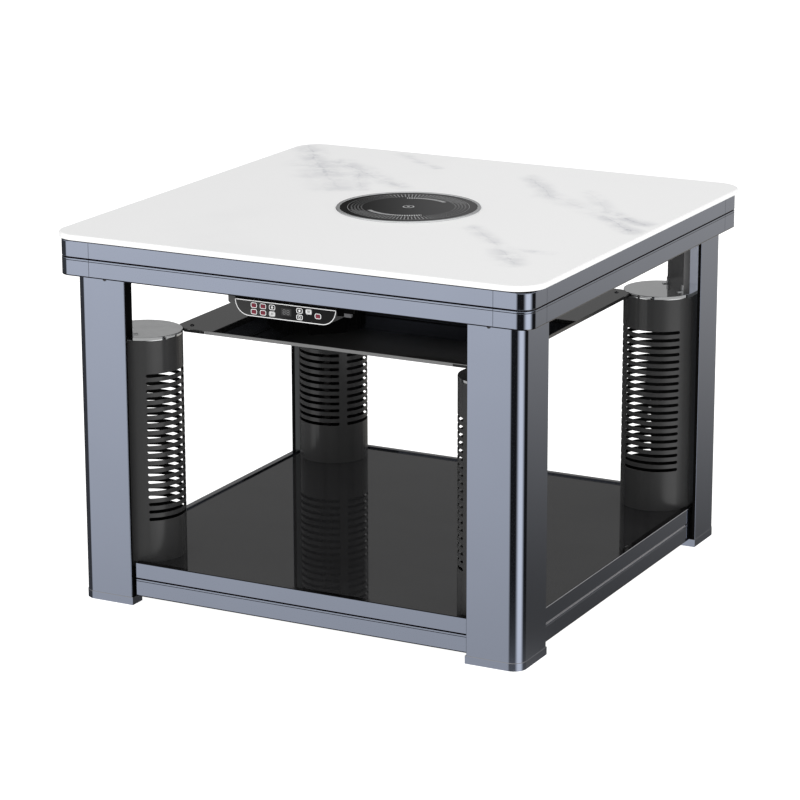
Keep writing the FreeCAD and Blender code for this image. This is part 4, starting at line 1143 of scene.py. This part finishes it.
class TABLE_OT_panel(bpy.types.Operator):
    """Makes the keys with their symbols, the panel's print and the display's digits"""
    bl_idname = "heating_table.panel"
    bl_label = "Key panel"

    symbols = ("heat", "heat", "ring", "heat", "heat", "rows", "ring", "power", "rows", "heat")
    red_keys = (1, 2, 4, 5, 10)
    filled_keys = (6, 9)

    def key(self, number, look, black, white, red):
        """A key's cap and stem with its print, which is white, red or, on a white key, black.

        The flange has fewer points than the cap, so the skin between them, behind the fascia's opening,
        stays open on one side.
        """
        node = f"key_{number}"
        low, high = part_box(node)
        lip, behind, soft = 0.8 * MM, 1 * MM, look.key_edge
        half_w, half_h = (high.x - low.x) / 2 - lip, (high.z - low.z - lip) / 2
        centre = Vector(((low.x + high.x) / 2, (low.z + high.z) / 2))
        front, back = low.y, high.y
        panel_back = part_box("control_fascia")[1].y

        def outline(half_width, half_height, radius):
            return [centre + point for point in rounded_box(half_width, half_height, radius, steps=8)]

        def inset(depth):
            return outline(half_w - depth, half_h - depth, look.key_corner - depth)

        flange = outline(half_w + lip, half_h + lip / 2, 0.6 * MM)
        eased = outline(half_w - soft * 0.3, half_h - soft * 0.3, look.key_corner)
        cap = loft([on_front(flange, panel_back + behind), on_front(flange, panel_back),
                    on_front(inset(0.0), panel_back - 0.01 * MM), on_front(inset(0.0), front + soft),
                    on_front(eased, front + soft * 0.3), on_front(inset(soft), front)])
        stem = outline(1.5 * MM, 1.5 * MM, 1.4 * MM)
        mesh = join([cap, loft([on_front(stem, y) for y in (panel_back + behind, back)])])
        prints = [(strip(inset(soft * 1.2), 1.1 * MM, front, look.ink), 1)]
        filled = number in self.filled_keys
        if filled:
            field = inset(soft * 2.4)
            prints.append((loft([on_front(field, front), on_front(field, front - look.ink)]), 1))
        tint = 2 if number in self.red_keys else int(not filled)
        mark = symbol(self.symbols[number - 1], centre, front - look.ink * filled, look.ink)
        for extra, index in (*prints, (mark, tint)):
            start = len(mesh.faces)
            mesh = join([mesh, extra])
            mesh.faces.ensure_lookup_table()
            for face in mesh.faces[start:]:
                face.material_index = index
        settle(make_object(f"key_cap_{number}", mesh, black, white, red), node, "key", node)

    def outline_print(self, look, white):
        """The light line along the fascia's edge, round at the lower corners."""
        low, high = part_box("control_fascia")
        inset, low_corner, high_corner = 0.6 * MM, 26.3 * MM, 0.3 * MM
        points = [(low.x + inset, low.z + inset), (high.x - inset, low.z + inset),
                  (high.x - inset, high.z - inset), (low.x + inset, high.z - inset)]
        outline = rounded(points, [low_corner, low_corner, high_corner, high_corner], 28)
        piece = make_object("panel_outline", strip(outline, look.line, low.y, look.ink), white)
        settle(piece, TABLE, "fascia")

    def digits(self, look, tint):
        """Two eights of seven strokes each on the display."""
        low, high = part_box("display_window")
        middle, z = (low.x + high.x) / 2, (low.z + high.z) / 2
        half_w, half_h, stroke = 2.1 * MM, 3.6 * MM, 0.7 * MM
        level, upright = half_w * 0.75, half_h * 0.28
        marks = []
        for x in (middle - 3.6 * MM, middle + 3.6 * MM):
            strokes = [((x - level, z + rise), (x + level, z + rise)) for rise in (-half_h, 0.0, half_h)]
            strokes += [((x + side, z + rise - upright), (x + side, z + rise + upright))
                        for side in (-half_w, half_w) for rise in (-half_h / 2, half_h / 2)]
            marks += [bar(start, end, stroke, low.y, look.ink) for start, end in strokes]
        settle(make_object("display_digits", join(marks), tint), TABLE, "fascia")

    def box_finish(self):
        """Dark grey plastic, with painted shade in black on the underside, above the fascia and to its
        right.
        """
        low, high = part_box("control_fascia")
        material, nodes, place = new_finish("box_plastic")
        x, _, z = nodes.split(place)
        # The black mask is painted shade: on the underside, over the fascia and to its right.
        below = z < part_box("control_box")[0].z + PAINTED_SHADE_SKIN
        black = nodes.most((z > high.z) * (x > low.x), x > high.x, below)
        tone = nodes.mottle(place, 8.0, 3.0)
        grey = nodes.mix(tone, (0.066, 0.066, 0.066), (0.06, 0.06, 0.06))
        close_finish(nodes, nodes.mix(black, grey, PAINTED_SHADE_BLACK), tone * 0.06 + 0.36, black,
                     nodes.noise(place, 500.0))
        return material

    def fascia_finish(self, look):
        """Gloss black, with painted light that makes it a little lighter towards the left."""
        low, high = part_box("control_fascia")
        material, nodes, place = new_finish("fascia_gloss")
        across = (nodes.split(place)[0] - low.x) * (1 / (high.x - low.x))
        base = nodes.mix(nodes.ease(across, 0.18, 0.62), (0.040, 0.040, 0.040), darker(look.black, 0.65))
        close_finish(nodes, base, 0.14, bump=nodes.noise(place, 900.0), strength=0.02, ior=1.16)
        return material

    def clip_finish(self):
        """Black block with a grey foot, whose underside carries painted shade in black."""
        foot_height = 6.5 * MM
        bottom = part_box("sensor_clip")[0].z
        material, nodes, place = new_finish("clip_plastic")
        height = nodes.split(place)[2]
        # block covers the black block above the foot and, as painted shade, the underside.
        block = nodes.most(height > bottom + foot_height, height < bottom + PAINTED_SHADE_SKIN)
        grey = nodes.mix(nodes.noise(place, 30.0), (0.10, 0.10, 0.105), (0.085, 0.085, 0.09))
        close_finish(nodes, nodes.mix(block, grey, (0.006, 0.006, 0.006)), 0.4, block)
        return material

    def execute(self, context):
        look = context.scene.table_panel
        black = coated_finish("key_gloss", look.black, 0.18, 900.0, 0.02)
        white = coated_finish("white_ink", look.printed, 0.45, 900.0, 0.02)
        red = coated_finish("red_ink", look.red, 0.45, 900.0, 0.02)
        for number in range(1, len(self.symbols) + 1):
            self.key(number, look, black, white, red)
        self.outline_print(look, white)
        self.digits(look, coated_finish("dim_digits", (0.22, 0.22, 0.222), 0.35, 900.0, 0.02))
        paint_node("control_fascia", self.fascia_finish(look))
        paint_node("display_window", coated_finish("window_gloss", look.black, 0.06, 900.0, 0.01))
        paint_node("control_box", self.box_finish())
        paint_node("control_board", coated_finish("board_lacquer", (0.01, 0.06, 0.03), 0.3, 300.0))
        paint_node("sensor_clip", self.clip_finish())
        return {"FINISHED"}


# The stage

def studio_world(scene, daylight):
    """Even light for matt faces, and for shiny ones a room with a bright front and a dark back.

    Directions and heights are in degrees. A lobe has its middle, its even half width and its fade.
    """
    front, right = (-126.5, 12.0, 14.0), (-19.0, 8.0, 34.0)
    left, back, warm_back = (81.0, 19.0, 15.0), (180.0, 25.0, 5.0), (70.0, 30.0, 20.0)
    world = bpy.data.worlds.new("studio")
    scene.world = world
    nodes = Nodes(world)
    glossy = {wire.socket.name: wire for wire in nodes.outputs(nodes.add("LightPath"))}["Is Glossy Ray"]
    x, y, z = nodes.split(nodes.add("TexCoord", output="Generated"))
    around = nodes.math("ARCTAN2", y, x) * (180 / math.pi)
    height = nodes.math("ARCSINE", z) * (180 / math.pi)

    def lobe(middle, core, fade):
        off = abs(nodes.math("WRAP", around - middle, 180.0, -180.0))
        return nodes.ease(off, core + fade, core)

    def along(value, low, high, start, stop):
        return nodes.add("MapRange", None, {0: value, 1: low, 2: high, 3: start, 4: stop})

    room = nodes.most(lobe(*front) * along(height, -25.0, -8.0, 0.34, 0.98), lobe(*right) * 1.05,
                      lobe(*left) * nodes.ease(height, -20.0, -10.0, 0.07, 0.46),
                      lobe(*back) * 0.05 + 0.015)
    low_sky = nodes.ease(height, 12.9, 12.5)
    sky = nodes.ease(height, 10.0, 60.0, 0.30, 1.0)
    sky = sky * (1.0 + low_sky * (along(around, 118.4, 116.2, 0.25, 1.35) - 1.0))
    below = nodes.ease(height, -9.0, -11.0)
    deep = nodes.ease(height, -19.5, -22.5)
    room = room + deep * (0.55 - room)
    shine = sky + below * (room - sky)
    tint = nodes.mix(glossy * below * lobe(*warm_back), (1.0, 1.0, 1.0), (1.03, 0.985, 0.91))
    sockets = {"Color": tint, "Strength": glossy * (shine - daylight) + daylight}
    nodes.add("OutputWorld", None, {"Surface": nodes.add("Background", None, sockets)})


def aimed(piece, place, aim):
    """Stands a lamp or a camera at a place and gives its turn towards an aim."""
    piece.location = place
    bpy.context.scene.collection.objects.link(piece)
    return (Vector(aim) - piece.location).to_track_quat("-Z", "Y")


class TABLE_OT_stage(bpy.types.Operator):
    """Sets the floor, the light and the camera"""
    bl_idname = "heating_table.stage"
    bl_label = "Stage"

    def execute(self, context):
        scene = context.scene
        look = scene.table_stage
        half = look.floor_size / 2
        mesh = bmesh.new()
        mesh.faces.new([mesh.verts.new((x, y, 0.0)) for x, y in
                        ((-half, -half), (half, -half), (half, half), (-half, half))])
        material, nodes, place = new_finish("pale_floor")
        base = nodes.mix(nodes.noise(place, 2.0), look.floor, darker(look.floor, 0.98))
        close_finish(nodes, base, 0.9, emission_color=(1.0, 1.0, 1.0, 1.0), emission_strength=1.0)
        floor = make_object("floor", mesh, material)
        floor.visible_glossy = False
        studio_world(scene, look.daylight)
        light = bpy.data.lights.new("front_fill", "AREA")
        light.energy = look.fill
        light.size = 2.5
        lamp = bpy.data.objects.new("front_fill", light)
        lamp.rotation_euler = aimed(lamp, (1.2, -4.2, 0.9), (0.0, 0.0, 0.5)).to_euler()
        lamp.visible_glossy = False
        camera = bpy.data.objects.new("camera", bpy.data.cameras.new("camera"))
        camera.data.lens = look.lens
        camera.data.sensor_width = 36.0
        camera.data.clip_end = 100.0
        sight = aimed(camera, look.place, look.aim).to_matrix().to_4x4()
        camera.rotation_euler = (sight @ Matrix.Rotation(look.roll, 4, "Z")).to_euler()
        scene.camera = camera
        scene.view_settings.view_transform = "Standard"
        return {"FINISHED"}


STEPS = (TABLE_OT_top, TABLE_OT_hob, TABLE_OT_frame, TABLE_OT_heaters, TABLE_OT_plates, TABLE_OT_screws,
         TABLE_OT_panel, TABLE_OT_stage)


class TABLE_PT_build(bpy.types.Panel):
    """Lists the steps that dress the table, and their sizes and colours"""
    bl_label = "Heating Table"
    bl_space_type = "VIEW_3D"
    bl_region_type = "UI"
    bl_category = "Heating Table"

    def draw(self, context):
        for step in STEPS:
            self.layout.operator(step.bl_idname)
        for name, group in SETTINGS.items():
            box = self.layout.box()
            for field in group.__annotations__:
                box.prop(getattr(context.scene, name), field)


def register():
    for group in SETTINGS.values():
        bpy.utils.register_class(group)
    for step in STEPS:
        bpy.utils.register_class(step)
    bpy.utils.register_class(TABLE_PT_build)
    for name, group in SETTINGS.items():
        setattr(bpy.types.Scene, name, PointerProperty(type=group))


def unregister():
    for name in SETTINGS:
        delattr(bpy.types.Scene, name)
    for item in (TABLE_PT_build, *reversed(STEPS), *reversed(SETTINGS.values())):
        bpy.utils.unregister_class(item)


def main():
    register()
    bpy.ops.heating_table.top()
    bpy.ops.heating_table.hob()
    bpy.ops.heating_table.frame()
    bpy.ops.heating_table.heaters()
    bpy.ops.heating_table.plates()
    bpy.ops.heating_table.screws()
    bpy.ops.heating_table.panel()
    bpy.ops.heating_table.stage()


if __name__ == "__main__":
    main()
